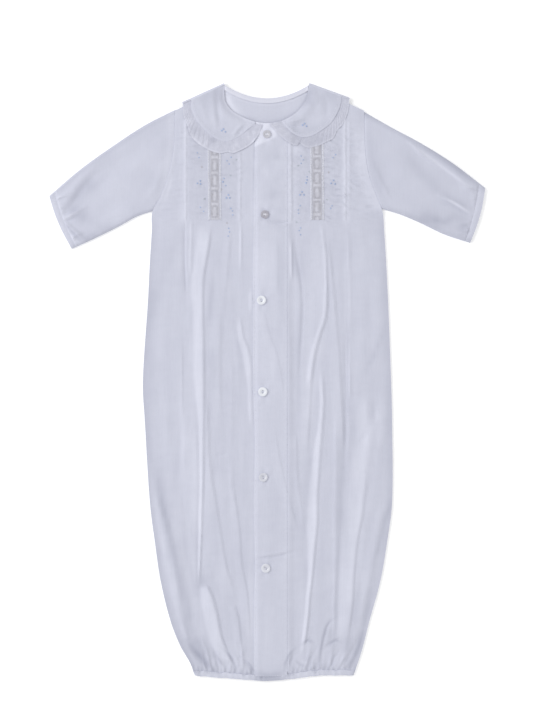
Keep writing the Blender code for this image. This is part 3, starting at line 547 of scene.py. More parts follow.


# Soft strokes of painted shade (tone below 0) and painted light (tone above 0) on the thin cloth, where it
# turns from the light or towards it:
# width, tone added, points of across and down
frontPaintedShading = [
    (5, -0.25, [(-110.5, 200), (-111, 222), (-112, 240)]), (6, -0.12, [(-112, 246), (-112, 300), (-110, 336)]),
    (5, -0.33, [(-111, 376), (-106, 408), (-100, 440), (-88, 490), (-75, 530)]),
    (6, -0.4, [(-72, 550), (-62, 576)]),
    (6, -0.2, [(-34, 516), (-26, 560)]), (4, -0.25, [(-52, 566), (-48, 574)]),
    (6, 0.11, [(-9, 146), (-8, 250), (-6, 330), (-6, 416)]),
    (4, 0.12, [(-85.5, 152), (-85.5, 190)]), (4, -0.15, [(36, 160), (35, 200)]),
    (7, 0.08, [(50, 180), (56, 226)]),
    (5, 0.2, [(60, 238), (50, 276), (45, 316), (40, 356)]), (5, -0.14, [(45, 366), (44, 420)]),
    (4, 0.17, [(54, 350), (50, 436), (46, 540)]),
    (4, 0.08, [(27, 186), (27, 246)]), (5, -0.24, [(88, 310), (86, 356), (80, 396), (77, 476)]),
    (7, 0.16, [(105, 346), (102, 386), (92, 456), (86, 545)]), (7, -0.1, [(104, 256), (104, 316)]),
    (6, -0.12, [(-66, 166), (-65, 206)]),
    (8, 0.08, [(-70, 256), (-70, 336)]), (5, 0.16, [(-67, 370), (-67, 456)]),
    (5, -0.14, [(-53, 256), (-53, 316)]),
    (6, -0.14, [(-50, 416), (-50, 476)]), (6, -0.17, [(-26, 450), (-25, 516)]),
    (4, 0.17, [(-14, 496), (-14, 560)]),
    (6, -0.2, [(64, 541), (65, 566)]), (4, -0.2, [(39, 571), (42, 577)]), (5, 0.13, [(28, 66), (28, 146)]),
    (5, 0.11, [(78, 66), (78, 136)]),
    (5, 0.3, [(24, 62), (34, 68)]), (5, -0.16, [(-88.5, 26), (-88, 66)]),
    (2.6, -0.18, [(26, 158), (32, 186), (36, 204)]), (2.5, -0.18, [(36, 204), (34, 260), (33, 356)]),
    (4, -0.12, [(16, 146), (17, 236)]),
    (8, 0.08, [(0, 146), (0, 236)]), (6, 0.1, [(-3, 236), (4, 290), (10, 316)]),
    (3, -0.18, [(82, 236), (83, 300), (83, 326)]),
    (1.5, 0.08, [(80, 142), (79.4, 250), (79, 336)]), (3, -0.2, [(-53, 196), (-56, 240)]),
    (5, -0.12, [(-105, 160), (-106, 230)]),
    (2.5, -0.2, [(118, 246), (108, 272), (100, 288)]), (6, -0.18, [(84, 312), (88, 356)]),
    (5, -0.2, [(93, 500), (88, 546)]),
    (8, -0.12, [(-97, 500), (-89, 525), (-79, 550)]), (3, -0.2, [(-82, 440), (-76, 480), (-70, 510)]),
    (6, -0.26, [(-65, 488), (-63, 506)]), (7, -0.2, [(81, 550), (84, 572)]),
    (4, 0.1, [(-21, 240), (-17, 270), (-15, 300)]), (3, -0.14, [(-30, 250), (-25, 276), (-22, 296)]),
    (9, 0.07, [(-80, 306), (-75, 360), (-72, 416)]), (12, 0.08, [(105, 252), (107, 316)]),
    (10, -0.09, [(-98, 146), (-94, 190)]), (5, -0.14, [(-82, 400), (-72, 460), (-65, 500)]),
    (4, -0.14, [(-105, 386), (-100, 446)]),
    (5, -0.1, [(77, 420), (82, 476)]), (6, -0.12, [(-38, 206), (-26, 256)]),
    (2.2, -0.34, [(127, 414), (119, 438), (112, 466), (107, 480)]),
    (2.4, -0.3, [(106, 504), (101, 530), (96, 552), (91, 570)]),
    (2.5, 0.14, [(124, 426), (116, 450), (109, 476)]), (7, 0.06, [(52, 150), (54, 200), (55, 236)]),
    (1.3, 0.3, [(-93, 92), (-98, 108), (-107, 128)]), (7, -0.1, [(86, 146), (92, 178)]),
    # painted shade and painted light of the band's own soft dimples and folds
    (5, -0.1, [(-6, 74), (8, 72), (18, 76)]), (4, 0.1, [(-8, 86), (6, 90)]), (5, -0.09, [(2, 112), (16, 108)]),
    (3, -0.12, [(6, 138), (18, 138)]),
    (3, 0.12, [(-8, 116), (-2, 124)]), (3, 0.1, [(8, 122), (15, 116)]), (4, -0.08, [(-6, 198), (-2, 222)]),
    # painted shade in the dark hooks of the gathers above the hem
    (1.5, -0.5, [(19, 586), (20, 578), (24, 570), (30, 564)]), (1.3, -0.4, [(30, 576), (34, 580), (40, 582)]),
    (1.3, -0.45, [(53, 582), (55, 566), (58, 552), (61, 541), (66, 536)]),
    (1.3, -0.35, [(63, 560), (70, 556), (76, 558)]),
    (1.4, -0.4, [(36, 560), (42, 556), (48, 558)]), (2.2, -0.5, [(80, 586), (87, 576), (93, 562), (97, 548)]),
    (3.0, -0.5, [(-78, 556), (-72, 566), (-62, 576), (-52, 586)]),
    (1.3, -0.4, [(-40, 566), (-34, 574), (-30, 584)]),
    (1.3, -0.4, [(-20, 576), (-14, 582), (-10, 589)]), (1.2, -0.35, [(-48, 572), (-44, 580)]),
    (3.5, -0.4, [(-10, 590), (5, 591.5), (18, 589)]),
]
sleevePaintedShading = {
    "left": [
        (7, -0.3, [(-195, 121), (-182, 106), (-166, 96)]), (5, -0.26, [(-195, 151), (-180, 154), (-165, 148)]),
        (7, -0.4, [(-196, 122), (-188, 131), (-176, 136)]),
        (14, 0.09, [(-165, 131), (-105, 66)]), (8, -0.1, [(-205, 91), (-165, 64), (-105, 41)]),
        (6, 0.13, [(-98, 66), (-100, 106), (-110, 124)]),
        (8, -0.12, [(-118, 84), (-108, 104)]), (5, -0.14, [(-172, 142), (-148, 145)]),
        (1.5, 0.4, [(-202, 136), (-193, 131), (-184, 127)]),
        (1.7, -0.42, [(-201, 139), (-195, 146), (-187, 155)]),
        (2.2, 0.25, [(-199, 146), (-193, 153), (-186, 160)]),
    ],
    "right": [
        (6, -0.16, [(136, 66), (178, 114)]), (7, -0.32, [(150, 133), (178, 137)]),
        (6, -0.28, [(199, 138), (197, 150)]),
        (5, -0.18, [(103, 31), (106, 76), (118, 116)]), (6, -0.28, [(165, 62), (190, 80), (210, 98)]),
        (1.6, 0.34, [(140, 57), (160, 71), (180, 86), (205, 104)]),
        (1.4, 0.5, [(180, 114.5), (191, 121), (204, 129)]),
        (4, -0.22, [(163, 136), (178, 138), (191, 133)]), (5, -0.16, [(142, 52), (172, 71), (204, 95)]),
        (1.6, -0.2, [(180, 117), (192, 124), (203, 131)]),
        (3, -0.15, [(172, 106), (190, 116), (203, 122)]), (8, -0.36, [(88, 20), (106, 31)]),
        (5, -0.08, [(104, 60), (108, 92), (118, 118)]),
        (6, -0.12, [(184, 128), (200, 140)]),
    ],
}
collarPaintedShading = [
    (10, -0.2, [(-68, 18), (-54, 8)]), (5, -0.26, [(-48, 2), (-47, 12), (-44, 20)]),
    (5, -0.28, [(47, 2), (45, 14), (40, 24)]),
    (3, -0.4, [(44, 4), (40, 15), (33, 25)]), (10, -0.22, [(56, 6), (72, 16)]),
    (5, -0.12, [(-64, 44), (-48, 54), (-28, 54)]), (5, -0.1, [(22, 44), (36, 50), (60, 42)]),
]
frillPaintedShading = [
    (6, -0.24, [(22, 54), (40, 59), (66, 53)]), (6, 0.1, [(-81, 20), (-79, 40)]),
    (2.6, 0.3, [(-84, 35), (-80, 38.5), (-72, 36)]),
    (4, -0.2, [(-76, 46), (-64, 48)]), (2, 0.25, [(-74, 53), (-63, 62)]), (1.6, 0.25, [(-62, 63), (-57, 55)]),
    (4, -0.45, [(-54, 53), (-51, 60)]),
    (1.8, 0.25, [(-30, 58), (-31, 67)]), (1.8, 0.2, [(-48, 57), (-50, 67)]), (1.8, 0.2, [(-19, 50), (-13, 59)]),
]
backPaintedShading = [(5.0, 0.6, [(-43, 6), (-38, 22), (-26, 34)])]


def pleatShape(across, down):
    # height that the pleats add, and their whiteness: paler doubled cloth with painted light, and painted shade
    # where it is below 0
    height, white = np.zeros_like(across), np.zeros_like(across)
    for rise, layersLightAndShade, lean, fade, rows in pleats:
        top, foot = rows[0][0], rows[-1][0]
        near = (down > top - 2) & (down < foot + 2)
        if not near.any():
            continue
        x, y = across[near], down[near]
        left, right = readCurve(rows, 1, y), readCurve(rows, 2, y)
        left = left + 0.5 * softNoise(y / 18, y * 0, int(rise * 10))
        part = np.clip((x - left) / (right - left), 0, 1)
        sharp = pleatLook["dropWide"] + 0.03 * (right - left)
        if lean > 0:
            shape = part * (1 - ease(right, right + sharp, x))
        else:
            shape = (1 - part) * ease(left - sharp, left, x)
        ends = plateau(y, top, top + fade, foot - fade, foot)
        height[near] += pleatLook["riseScale"] * rise * ends * shape
        soft = np.minimum(pleatLook["feather"], 0.32 * (right - left))
        inside = plateau(x, left - 0.5 * soft, left + soft, right - soft, right + 0.6 * soft)
        white[near] += pleatLook["layersLightAndShadeScale"] * layersLightAndShade * ends * inside
    return height, white


def lineHeights(lines, across, down):
    # the sum of the listed strokes, each soft across and dying away at its ends
    total = np.zeros_like(across)
    for wide, rise, points in lines:
        points = np.array(points, float)
        reach = 3 * wide
        low, high = points.min(0) - reach, points.max(0) + reach
        near = (across > low[0]) & (across < high[0]) & (down > low[1]) & (down < high[1])
        if not near.any():
            continue
        x, y = across[near], down[near]
        best, place = np.full(x.shape, 1e9), np.zeros_like(x)
        lengths = np.linalg.norm(np.diff(points, axis=0), axis=1)
        run = np.concatenate([[0], lengths.cumsum()]) / lengths.sum()
        for n in range(len(points) - 1):
            (x0, y0), (x1, y1) = points[n], points[n + 1]
            dx, dy = x1 - x0, y1 - y0
            t = np.clip(((x - x0) * dx + (y - y0) * dy) / (dx * dx + dy * dy), 0, 1)
            away = np.hypot(x - x0 - t * dx, y - y0 - t * dy)
            nearer = away < best
            best = np.where(nearer, away, best)
            place = np.where(nearer, mix(run[n], run[n + 1], t), place)
        ends = plateau(place, 0, 0.3, 0.7, 1)
        total[near] += rise * (0.35 + 0.65 * ends) * bell(best, wide)
    return total


# front

frontLook = {
    "wall": 0.3, "loft": 1.3,
    "innerTuck": 25.5, "outerTuck": 79.5, "tuckRise": 0.62, "tuckWide": 1.6, "tuckEnd": 136.0,
    "laceLeft": (-55.1, -46.4), "laceRight": (46.8, 56.3), "laceEnd": 136.0,
    "rippleRise": 0.36, "ripplePitch": 6.0, "rungPitch": 5.3,
    "slowRise": 0.42, "fineRise": 0.08, "streakRise": 0.14,
    "sideShade": 0.3, "sideShadeWide": 8.0,
    "cell": 1.6,
    "bandLeft": -11.5, "bandRight": 21.2, "underlap": 20.5,
}


def loft(across, down):
    side = np.where(across < 0, leftEdge(down), rightEdge(down))
    sides = 1 - np.minimum(1, np.abs(across / side)) ** 3
    return frontLook["loft"] * sides * plateau(down, 80, 160, 500, 585)


def tuckHeights(across, down):
    look = frontLook
    outer, inner = look["outerTuck"], look["innerTuck"]
    total = np.zeros_like(across)
    for tuck, top in ((-outer, 34), (-inner, 66), (inner, 58), (outer, 34)):
        wander = tuck + 0.5 * softNoise(down / 30, down * 0 + tuck, 3)
        away = across - wander
        wide = np.where(away > 0, look["tuckWide"] * 0.75, look["tuckWide"] * 1.25)
        length = plateau(down, top, top + 3, look["tuckEnd"] - 3, look["tuckEnd"] + 6)
        total += look["tuckRise"] * length * bell(away, wide)
    # a second line of stitches beside the outer right tuck
    length = plateau(down, 36, 40, 132, 142)
    total += 0.4 * length * bell(across - outer - 4.2, 1.1)
    return total


def tuckWhite(across, down):
    # a tuck has three layers of cloth, so it shows white
    look = frontLook
    outer, inner = look["outerTuck"], look["innerTuck"]
    total = np.zeros_like(across)
    for middle, top, wide, white in (
        (-outer, 34, 2.0, 0.28), (-inner, 66, 2.0, 0.12), (inner - 0.2, 56, 4.0, 0.12), (outer, 34, 2.0, 0.22),
        (outer + 3.6, 36, 1.6, 0.14), (-85.5, 36, 1.5, 0.1), (-13.0, 52, 1.8, 0.16),
    ):
        wander = middle + 0.5 * softNoise(down / 30, down * 0 + middle, 3)
        length = plateau(down, top, top + 6, look["tuckEnd"] - 2, look["tuckEnd"] + 10)
        total += white * length * bell(across - wander, wide)
    return total


def yokeRipples(across, down):
    # between the tucks the cloth draws up in short ripples, level on the left and slanting on the right
    look = frontLook
    part = np.abs(across)
    between = plateau(part, 27, 31, 44, 47) + plateau(part, 56, 60, 75, 78) + ease(81, 84, part)
    upDown = plateau(down, 30, 56, 128, 152)
    lean = np.where(across > 0, -0.55, 0.12)
    level = down + lean * (part - 50) + 2.6 * softNoise(across / 11, down / 15, 5)
    waves = np.sin(2 * np.pi * level / look["ripplePitch"] + 1.8 * softNoise(across / 7, down / 9, 8))
    second = 2 * np.pi * (level * 1.7 + across * 0.2) / look["ripplePitch"]
    waves = waves + 0.6 * np.sin(second + 2.2 * softNoise(across / 5, down / 8, 9))
    strength = np.clip(0.62 + 0.6 * softNoise(across / 8, down / 9, 11), 0, 1.2)
    strength = strength * np.where(across > 56, 1.5, 1.0)
    crumple = 0.22 * softNoise(across / 4.2, down / 3.1, 12) + 0.16 * softNoise(across / 2.6, down / 4.4, 13)
    rungs = 2 * np.pi * (down + 0.1 * across) / look["rungPitch"]
    rungs = np.sin(rungs + 2.0 * softNoise(across / 9, down / 11, 14))
    beside = sum(bell(part - place, 4.5) for place in (look["innerTuck"], look["outerTuck"]))
    beside = beside * plateau(down, 24, 40, 126, 146)
    waves = waves * strength + beside * rungs * (0.5 + 0.3 * softNoise(across / 6, down / 14, 15))
    between = np.maximum(between, beside)
    middle = (1 - ease(24, 27, part)) * plateau(down, 48, 60, 128, 150)
    return look["rippleRise"] * between * upDown * waves + crumple * (between * upDown + 0.35 * middle)


def slowWaves(across, down):
    # long loose waves down the skirt, and a fine unevenness all over
    look = frontLook
    skirt = ease(130, 210, down)
    waves = softNoise(across / 15 + 0.5 * softNoise(across / 40, down / 90, 21), down / 120, 22)
    waves = waves + 0.5 * softNoise(across / 8, down / 70, 23)
    fine = softNoise(across / 5.5, down / 12, 24) + 0.6 * softNoise(across / 3.4, down / 5, 25)
    streaks = softNoise((across + 0.06 * down) / 4.2, down / 46, 26)
    streaks = streaks + 0.6 * softNoise((across - 0.05 * down) / 3.2, down / 28, 20)
    streaks = streaks * ease(14, 40, np.abs(across - 5)) * skirt
    return look["slowRise"] * skirt * waves + look["fineRise"] * fine + look["streakRise"] * streaks


def makePuckers(seed, count, left, right, shortest, longest):
    # small gathers that run up from a seam, each its own length, lean and height
    random = np.random.RandomState(seed)
    made = []
    for n in range(count):
        at = mix(left, right, (n + 0.5 + random.uniform(-0.55, 0.55)) / count)
        length = shortest + (longest - shortest) * random.uniform() ** 2.4
        lean, wide, rise = random.uniform(-0.22, 0.22), random.uniform(0.9, 1.9), random.uniform(0.5, 1.5)
        made.append((at, length, lean, wide, rise))
    return made


hemPuckers = [p for p in makePuckers(7, 46, -68, 84, 7, 46) if not -9 < p[0] < 22]


def puckerHeights(puckers, across, above, outward):
    # above is the distance up from the seam; outward spreads the gathers as they rise
    total = np.zeros_like(across)
    for at, length, lean, wide, rise in puckers:
        near = (above < length) & (above > -3) & (np.abs(across - at) < 22)
        if not near.any():
            continue
        x, up = across[near], above[near]
        middle = at + (lean + outward * at) * up + 0.7 * np.sin(up / 5 + at)
        total[near] += rise * (1 - ease(0.25, 1, up / length)) * bell(x - middle, wide * (1 + 0.02 * up))
    return total


def frontHeights(across, down, upper):
    # the upper side of the front's cloth, and its tone of layers with painted shade and painted light; upper is
    # the side joined to the placket
    look = frontLook
    quiet = plateau(across, look["bandLeft"] - 3, look["bandLeft"], look["bandRight"], look["bandRight"] + 3)
    above = hemLine(across) - body["casingWide"] - down
    rise, white = pleatShape(across, down)
    height = layer + body["wall"] + pad(across, down) + loft(across, down)
    height = height + rise * (1 - 0.3 * quiet) + lineHeights(frontLines, across, down)
    ripples = yokeRipples(across, down)
    height = height + tuckHeights(across, down) * (1 - quiet) + ripples
    height = height + slowWaves(across, down) * (1 - 0.5 * quiet)
    height = height + puckerHeights(hemPuckers, across, above, 0.004) * (1 - quiet)
    if upper:
        height = height + layer * (1 - ease(look["underlap"] + 1.5, look["underlap"] + 9, across))
    side = np.where(across < 0, across - leftEdge(down), rightEdge(down) - across)
    seam = (1 - ease(0, 11, side)) * ease(126, 140, down)
    height = mix(height, 1.6, seam)
    hole = (1 - ease(122, 132, down)) * ease(20, 34, down)
    height = mix(height, 2.68, (1 - ease(0, 6, side)) * hole)
    # under the casing's edge the cloth dips out of sight
    height = mix(height, 2.3, 1 - ease(-0.3, 3.0, above))
    yoke = plateau(np.abs(across), 24, 30, 74, 80) * plateau(down, 40, 60, 122, 150)
    # the pleats' whiteness is paler doubled cloth with painted light, and painted shade where it is below 0
    tone = plainTone + white - 0.1 * yoke + 0.07 * softNoise(across / 9, down / 13, 27) * yoke
    tone = tone + tuckWhite(across, down) * (1 - quiet) + 0.04 * softNoise(across / 12, down / 60, 28)
    # painted light on the ripples: their tops are painted paler
    ripples = ripples * (1 - quiet) * (1 - ease(76, 81, np.abs(across)))
    tone = tone + np.where(across > 56, 0.22, 0.12) * ripples
    tone = tone + 0.1 * softNoise(across / 6, down / 8, 17) * quiet * plateau(down, 56, 66, 130, 150)
    tone = tone + 0.05 * softNoise((across + 0.04 * down) / 4.6, down / 55, 19) * ease(130, 200, down)
    tone = tone + 0.03 * softNoise(across / 7, down / 3.4, 18)
    # it stays clear of the back under it
    height = 1.75 + 0.5 * (height - 1.75 + np.sqrt((height - 1.75) ** 2 + 0.1))
    # painted shade where the sides turn under and in the gathers at the foot, and a painted pale line along the
    # armhole's seam, partly its doubled cloth
    turned = 1 - ease(0, look["sideShadeWide"], side)
    corner = (1 - ease(0, 34, side)) * ease(500, 585, down) * (across < 0)
    turned = turned * (1 - 0.7 * ease(430, 520, down) * (across > 0))
    tone = tone - (look["sideShade"] * turned + 0.12 * corner) * ease(120, 150, down)
    broad = np.where(across < 0, 0.0, 0.2 * (1 - ease(8, 14, side)) * ease(36, 54, down))
    tone = tone + (np.where(across < 0, 0.22, 0.0) * bell(side, 1.5) + broad) * hole
    # painted shade in the gathers above the casing, and painted light and shade along their ridges
    gatherShadeMask = bell(above, 7) * (1 - 0.6 * quiet)
    tone = tone - gatherShadeMask * (0.14 + 0.18 * softNoise(across / 5, down / 8, 29))
    gatherLightAndShade = np.sin(2 * np.pi * across / 4.7 + 2.5 * softNoise(across / 10, across * 0, 30))
    tone = tone + 0.22 * gatherLightAndShade * bell(above - 1.5, 3) * (1 - quiet)
    return height, tone + lineHeights(frontPaintedShading, across, down)


def frontTop(across, down, upper):
    return frontHeights(across, down, upper)[0]


def frontPlan(guides, tips, evens, leftSide, upper):
    # across and down of a dense grid that follows the solid's own columns
    look = frontLook
    dense = []
    for a, b in zip(guides, guides[1:]):
        steps = max(1, int(math.ceil(abs(b - a) / look["cell"])))
        if min(abs(abs(a) - look["innerTuck"]), abs(abs(a) - look["outerTuck"])) < 2.5:
            steps = max(steps, 4)
        dense += [a + (b - a) * n / steps for n in range(steps)]
    guide = np.array(dense + [guides[-1]])
    tip = np.interp(guide, guides, tips)
    even = np.interp(guide, guides, evens)
    onShoulder = (tip < body["neckLeft"][0]) | (tip > body["neckRight"][0])
    top = np.where(onShoulder, shoulderLine(tip), frontNeck(tip))
    down = [mix(top, body["yokeFoot"], n / 30) for n in range(30)]
    down += [np.full_like(top, y) for y in np.arange(body["yokeFoot"], body["gatherTop"], look["cell"])]
    foot = hemLine(tip) - body["casingWide"] + 1.2
    down += [mix(body["gatherTop"], foot, n / 34) for n in range(35)]
    down = np.array(down)
    edge = leftEdge(down) if leftSide else rightEdge(down)
    start = -body["sideGuide"] if leftSide else body["sideGuide"]
    out = np.clip((np.abs(guide) - body["sideGuide"]) / body["sideReach"], 0, 1)
    across = np.where(np.abs(guide) > body["sideGuide"], start + (edge - start) * out, guide)
    across = mix(tip, across, ease(top, np.full_like(top, body["yokeFoot"] + 0.01), down))
    inner = look["bandLeft"] if leftSide else look["bandRight"] + body["gap"]
    banded = (guide >= look["bandLeft"]) if leftSide else np.zeros_like(guide, bool)
    level = mix(edge, inner, even)
    across = np.where(banded, across, mix(across, level, ease(200, body["gatherTop"] - 20, down)))
    last = slice(len(down) - 35, len(down))
    foot = hemLine(across[last]) - body["casingWide"] + 1.2
    down[last] = mix(body["gatherTop"], foot, (np.arange(35) / 34)[:, None])
    return across, down


def panelCloth(name, across, down, height, wall, tone):
    flat = np.stack([across, -down], axis=-1) * mm
    points = toWorld(across, down, height)
    return clothFromGrid(name, points, batisteCloth, wall, flip=True, flat=flat, tone=tone)


def makeFrontLeft():
    outs = [1.0, 0.75, 0.5, 0.25]
    guides = [-body["sideGuide"] - body["sideReach"] * out for out in outs]
    tips = [mix(-body["sideGuide"], body["tipLeft"], out) for out in outs]
    fixed = [-81.5, -79.5, -77.5, -71, -65, -60, -55.1, -50.8, -46.4, -41, -35, -30, -27.5, -25.5, -23.5, -17]
    for guide in fixed:
        guides.append(guide)
        onShoulder = mix(-body["sideGuide"], body["neckLeft"][0], (guide + body["sideGuide"]) / 40.5)
        tips.append(onShoulder if guide < -40 else {-35: -38.2, -30: -32.0}.get(guide, guide))
    evens = [n / len(guides) for n in range(len(guides))]
    for guide in (frontLook["bandLeft"], -4, 4, 12, frontLook["underlap"]):
        guides.append(guide)
        tips.append(guide)
        evens.append(1.0)
    across, down = frontPlan(guides, tips, evens, True, False)
    height, tone = frontHeights(across, down, False)
    piece = panelCloth("frontLeftCloth", across, down, height, frontLook["wall"], tone)
    finishPiece(piece, "front_left", slot="cotton_batiste")
    return piece


def makeFrontRight():
    guides = [23.5, 25.5, 27.5, 31, 36, 41, 46.8, 51.5, 56.3, 61, 66, 72, 77.5, 79.5, body["sideGuide"]]
    guides.insert(0, frontLook["bandRight"] + body["gap"])
    tips = []
    for guide in guides:
        onShoulder = mix(body["neckRight"][0], body["sideGuide"], (guide - 41) / 40.5)
        tips.append(onShoulder if guide > 40 else {36: 38.8, 31: 32.5}.get(guide, guide))
    for out in (0.2, 0.4, 0.6, 0.8, 1.0):
        guides.append(body["sideGuide"] + body["sideReach"] * out)
        tips.append(mix(body["sideGuide"], body["tipRight"], out))
    evens = [1 - n / (len(guides) - 1) for n in range(len(guides))]
    across, down = frontPlan(guides, tips, evens, False, True)
    # a seam allowance that runs in under the placket
    allowance = [across[:, :1] + inward for inward in (-1.8, -0.8, -0.1, 0.5)]
    across = np.concatenate(allowance + [across[:, 1:]], axis=1)
    down = np.concatenate([down[:, :1]] * 4 + [down[:, 1:]], axis=1)
    height, tone = frontHeights(across, down, True)
    height[:, :5] -= np.array([1.0, 0.8, 0.44, 0.2, 0.03])
    piece = panelCloth("frontRightCloth", across, down, height, frontLook["wall"], tone)
    finishPiece(piece, "front_right", slot="cotton_batiste")
    return piece


# placket

bandLook = {
    "wall": 0.25, "edgeDrop": 0.95, "stitchIn": 1.6, "stitchDip": 0.16, "puckerRise": 0.1, "puckerPitch": 5.2,
    "columns": 43, "rows": 420,
}


def bandWander(down):
    # how the band's free edge strays from a straight line
    return 0.7 * softNoise(down / 60, down * 0, 33) - 1.6 * bell(down - 236, 70)


def bandTop(across, down):
    look = bandLook
    height = frontTop(across, down, False) + layer
    height = height - look["edgeDrop"] * (1 - ease(0, 4.2, across - frontLook["bandLeft"]))
    height = height - 0.1 * (1 - ease(0, 1.2, frontLook["bandRight"] + 0.4 - across))
    for line in (frontLook["bandLeft"] + look["stitchIn"], frontLook["bandRight"] - look["stitchIn"]):
        height = height - look["stitchDip"] * (1 - 0.7 * ease(140, 200, down)) * bell(across - line, 0.7)
        pucker = np.sin(2 * np.pi * down / look["puckerPitch"] + 2.5 * softNoise(down / 9, down * 0 + line, 31))
        height = height + look["puckerRise"] * pucker * bell(across - line, 2.4)
    for x, y, *_ in buttonPlaces:
        away = np.hypot(across - x, down - y)
        angle = np.arctan2(down - y, across - x)
        height = height - 0.35 * bell(away, 5.5)
        height = height + 0.3 * np.cos(5 * angle + x) * bell(away - 8, 4.0)
    return height


def makeBand():
    look = frontLook
    across = np.linspace(look["bandLeft"], look["bandRight"] + 0.4, bandLook["columns"])
    top = frontNeck(across)
    foot = hemLine(across) - body["casingWide"] + 1.2
    down = mix(top, foot, np.linspace(0, 1, bandLook["rows"])[:, None])
    across = np.repeat(across[None, :], len(down), axis=0)
    edgeWander = bandWander(down)
    leftward = 1 - ease(look["bandLeft"], look["bandLeft"] + 12, across)
    across = across + leftward * edgeWander
    height = bandTop(across, down)
    _, tone = frontHeights(across, down, False)
    # paler band edges, partly their folded cloth and partly painted light over their shadow lines, and a pale
    # patch at the neck made paler still as painted light against the frill's shadow
    edges = bell(across - look["bandLeft"] - edgeWander - 0.8, 1.4)
    edges = edges + 0.5 * bell(across - look["bandRight"] + 1, 1.6)
    patch = (1 - ease(56.5, 59.5, down + 0.45 * across)) * (1 - ease(8, 14, across))
    tone = tone + 0.03 + 0.14 * edges + 0.6 * patch
    piece = panelCloth("placketCloth", across, down, height, bandLook["wall"], tone)
    finishPiece(piece, "placket_band", slot="cotton_batiste")
    return piece


# back

backLook = {"wall": 0.5, "crease": 0.45, "columns": 116, "rows": 270}
backPuckers = makePuckers(19, 40, -66, 82, 8, 50)


def backTop(across, down):
    waves = softNoise(across / 22, down / 150, 51) + 0.6 * softNoise(across / 11, down / 90, 52)
    height = 0.62 + 1.25 * pad(across, down) + backLook["crease"] * np.clip(waves, 0, 1) * ease(60, 130, down)
    above = hemLine(across) - body["casingWide"] - down
    return height + 0.2 * puckerHeights(backPuckers, across, above, 0.004)


def makeBack():
    part = np.linspace(0, 1, backLook["columns"])
    tip = mix(body["tipLeft"], body["tipRight"], part)
    onShoulder = (tip < body["neckLeft"][0]) | (tip > body["neckRight"][0])
    top = np.where(onShoulder, shoulderLine(tip), backNeck(tip))
    foot = np.full_like(part, body["hemDown"])
    for _ in range(3):
        foot = hemLine(mix(leftEdge(foot), rightEdge(foot), part)) - body["casingWide"] + 0.3
    down = mix(top, foot, np.linspace(0, 1, backLook["rows"])[:, None])
    across = mix(leftEdge(down), rightEdge(down), part)
    tone = plainTone + 0.06 * (1 - ease(30, 60, down)) + 0.04 * softNoise(across / 10, down / 30, 53)
    # painted light beside the binding's lower edge and along the collar's neck edge, against the shadows there
    fromBinding = down - backNeck(across) - bindingLook["wide"]
    tone = tone + 0.45 * bell(fromBinding - 0.3, 1.2) * (np.abs(across) < 42)
    fromCollar = frontNeck(across) - down
    tone = tone + 0.5 * bell(fromCollar, 9) * ease(30, 36, -across) * (down < 22)
    tone = tone + lineHeights(backPaintedShading, across, down)
    piece = panelCloth("backCloth", across, down, backTop(across, down), backLook["wall"], tone)
    finishPiece(piece, "back_panel", slot="cotton_batiste")
    return piece


bindingLook = {"wide": 5.0, "wall": 0.4, "height": 3.1, "rise": 0.3, "rows": 8, "columns": 90}


def makeBinding():
    look = bindingLook
    across = np.linspace(body["neckLeft"][0] - 0.4, body["neckRight"][0] - 0.6, look["columns"])
    rows = []
    for n in range(look["rows"]):
        part = n / (look["rows"] - 1)
        rise = look["rise"] * math.sin(math.pi * part) ** 0.6
        height = look["height"] + rise + 0.05 * softNoise(across / 3, across * 0 + n * 0.4, 55)
        rows.append(toWorld(across, backNeck(across) + look["wide"] * part, height))
    tone = np.repeat(np.linspace(0.16, 0.5, look["rows"])[:, None], look["columns"], axis=1)
    ends = np.minimum(across - across[0], across[-1] - across)
    tone = tone + 0.5 * bell(ends, 2.2)  # paler where the collar would shade it
    piece = clothFromGrid(
        "bindingCloth", np.array(rows), clothFinish("biasBinding"), look["wall"], flip=True, tone=tone)
    finishPiece(piece, "neck_binding", slot="cotton_batiste")
    return piece


# sleeves and cuffs, tubes pressed flat

sleeveLook = {
    "puff": 0.9, "wall": 0.4, "sideShade": 0.24, "sideShadeWide": 8.0, "cuffWide": 6.5, "wristBow": 2.4,
    "around": 76,
    "rows": 84, "cuffRows": 12, "cuffWall": 0.6,
    "wristPuckers": makePuckers(31, 13, -2, 56, 5, 26),
    "left": [  # top across, top down, underarm across, underarm down
        (-90.5, 26, -113.5, 127), (-121.5, 42, -129.5, 133), (-153.5, 63, -145.5, 142),
        (-185.5, 86, -169.5, 154), (-216.0, 112, -193.5, 165),
    ],
    "right": [
        (98.5, 28, 117.5, 125), (126.5, 44, 134.5, 130.5), (154.5, 59, 154.5, 139),
        (186.5, 79, 178.5, 150.5), (219.5, 104, 204.5, 159),
    ],
}


def sleevePlan(table, edge, parts, across01):
    # across and down over a sleeve: parts along its length, across01 from its top to its underarm
    topA, topD, underA, underD = (c[:, None] for c in alongRows(table, np.clip(parts, 0, 1)))
    down = mix(topD, underD, across01)
    across = mix(topA, underA, across01)
    startDown = mix(table[0][1], table[0][3], across01)
    hole = edge(startDown) - mix(table[0][0], table[0][2], across01)
    bow = np.maximum(0, 1 - np.clip(parts[:, None], 0, 1) / 0.55) ** 2
    wrist = sleeveLook["wristBow"] * np.clip(parts[:, None], 0, 1) ** 3 * np.sin(np.pi * across01)
    long = math.dist(table[-1][0:2], table[0][0:2])
    inward = np.minimum(0, parts[:, None]) * long
    return across + bow * hole + math.copysign(1, table[0][0]) * (wrist + inward), down


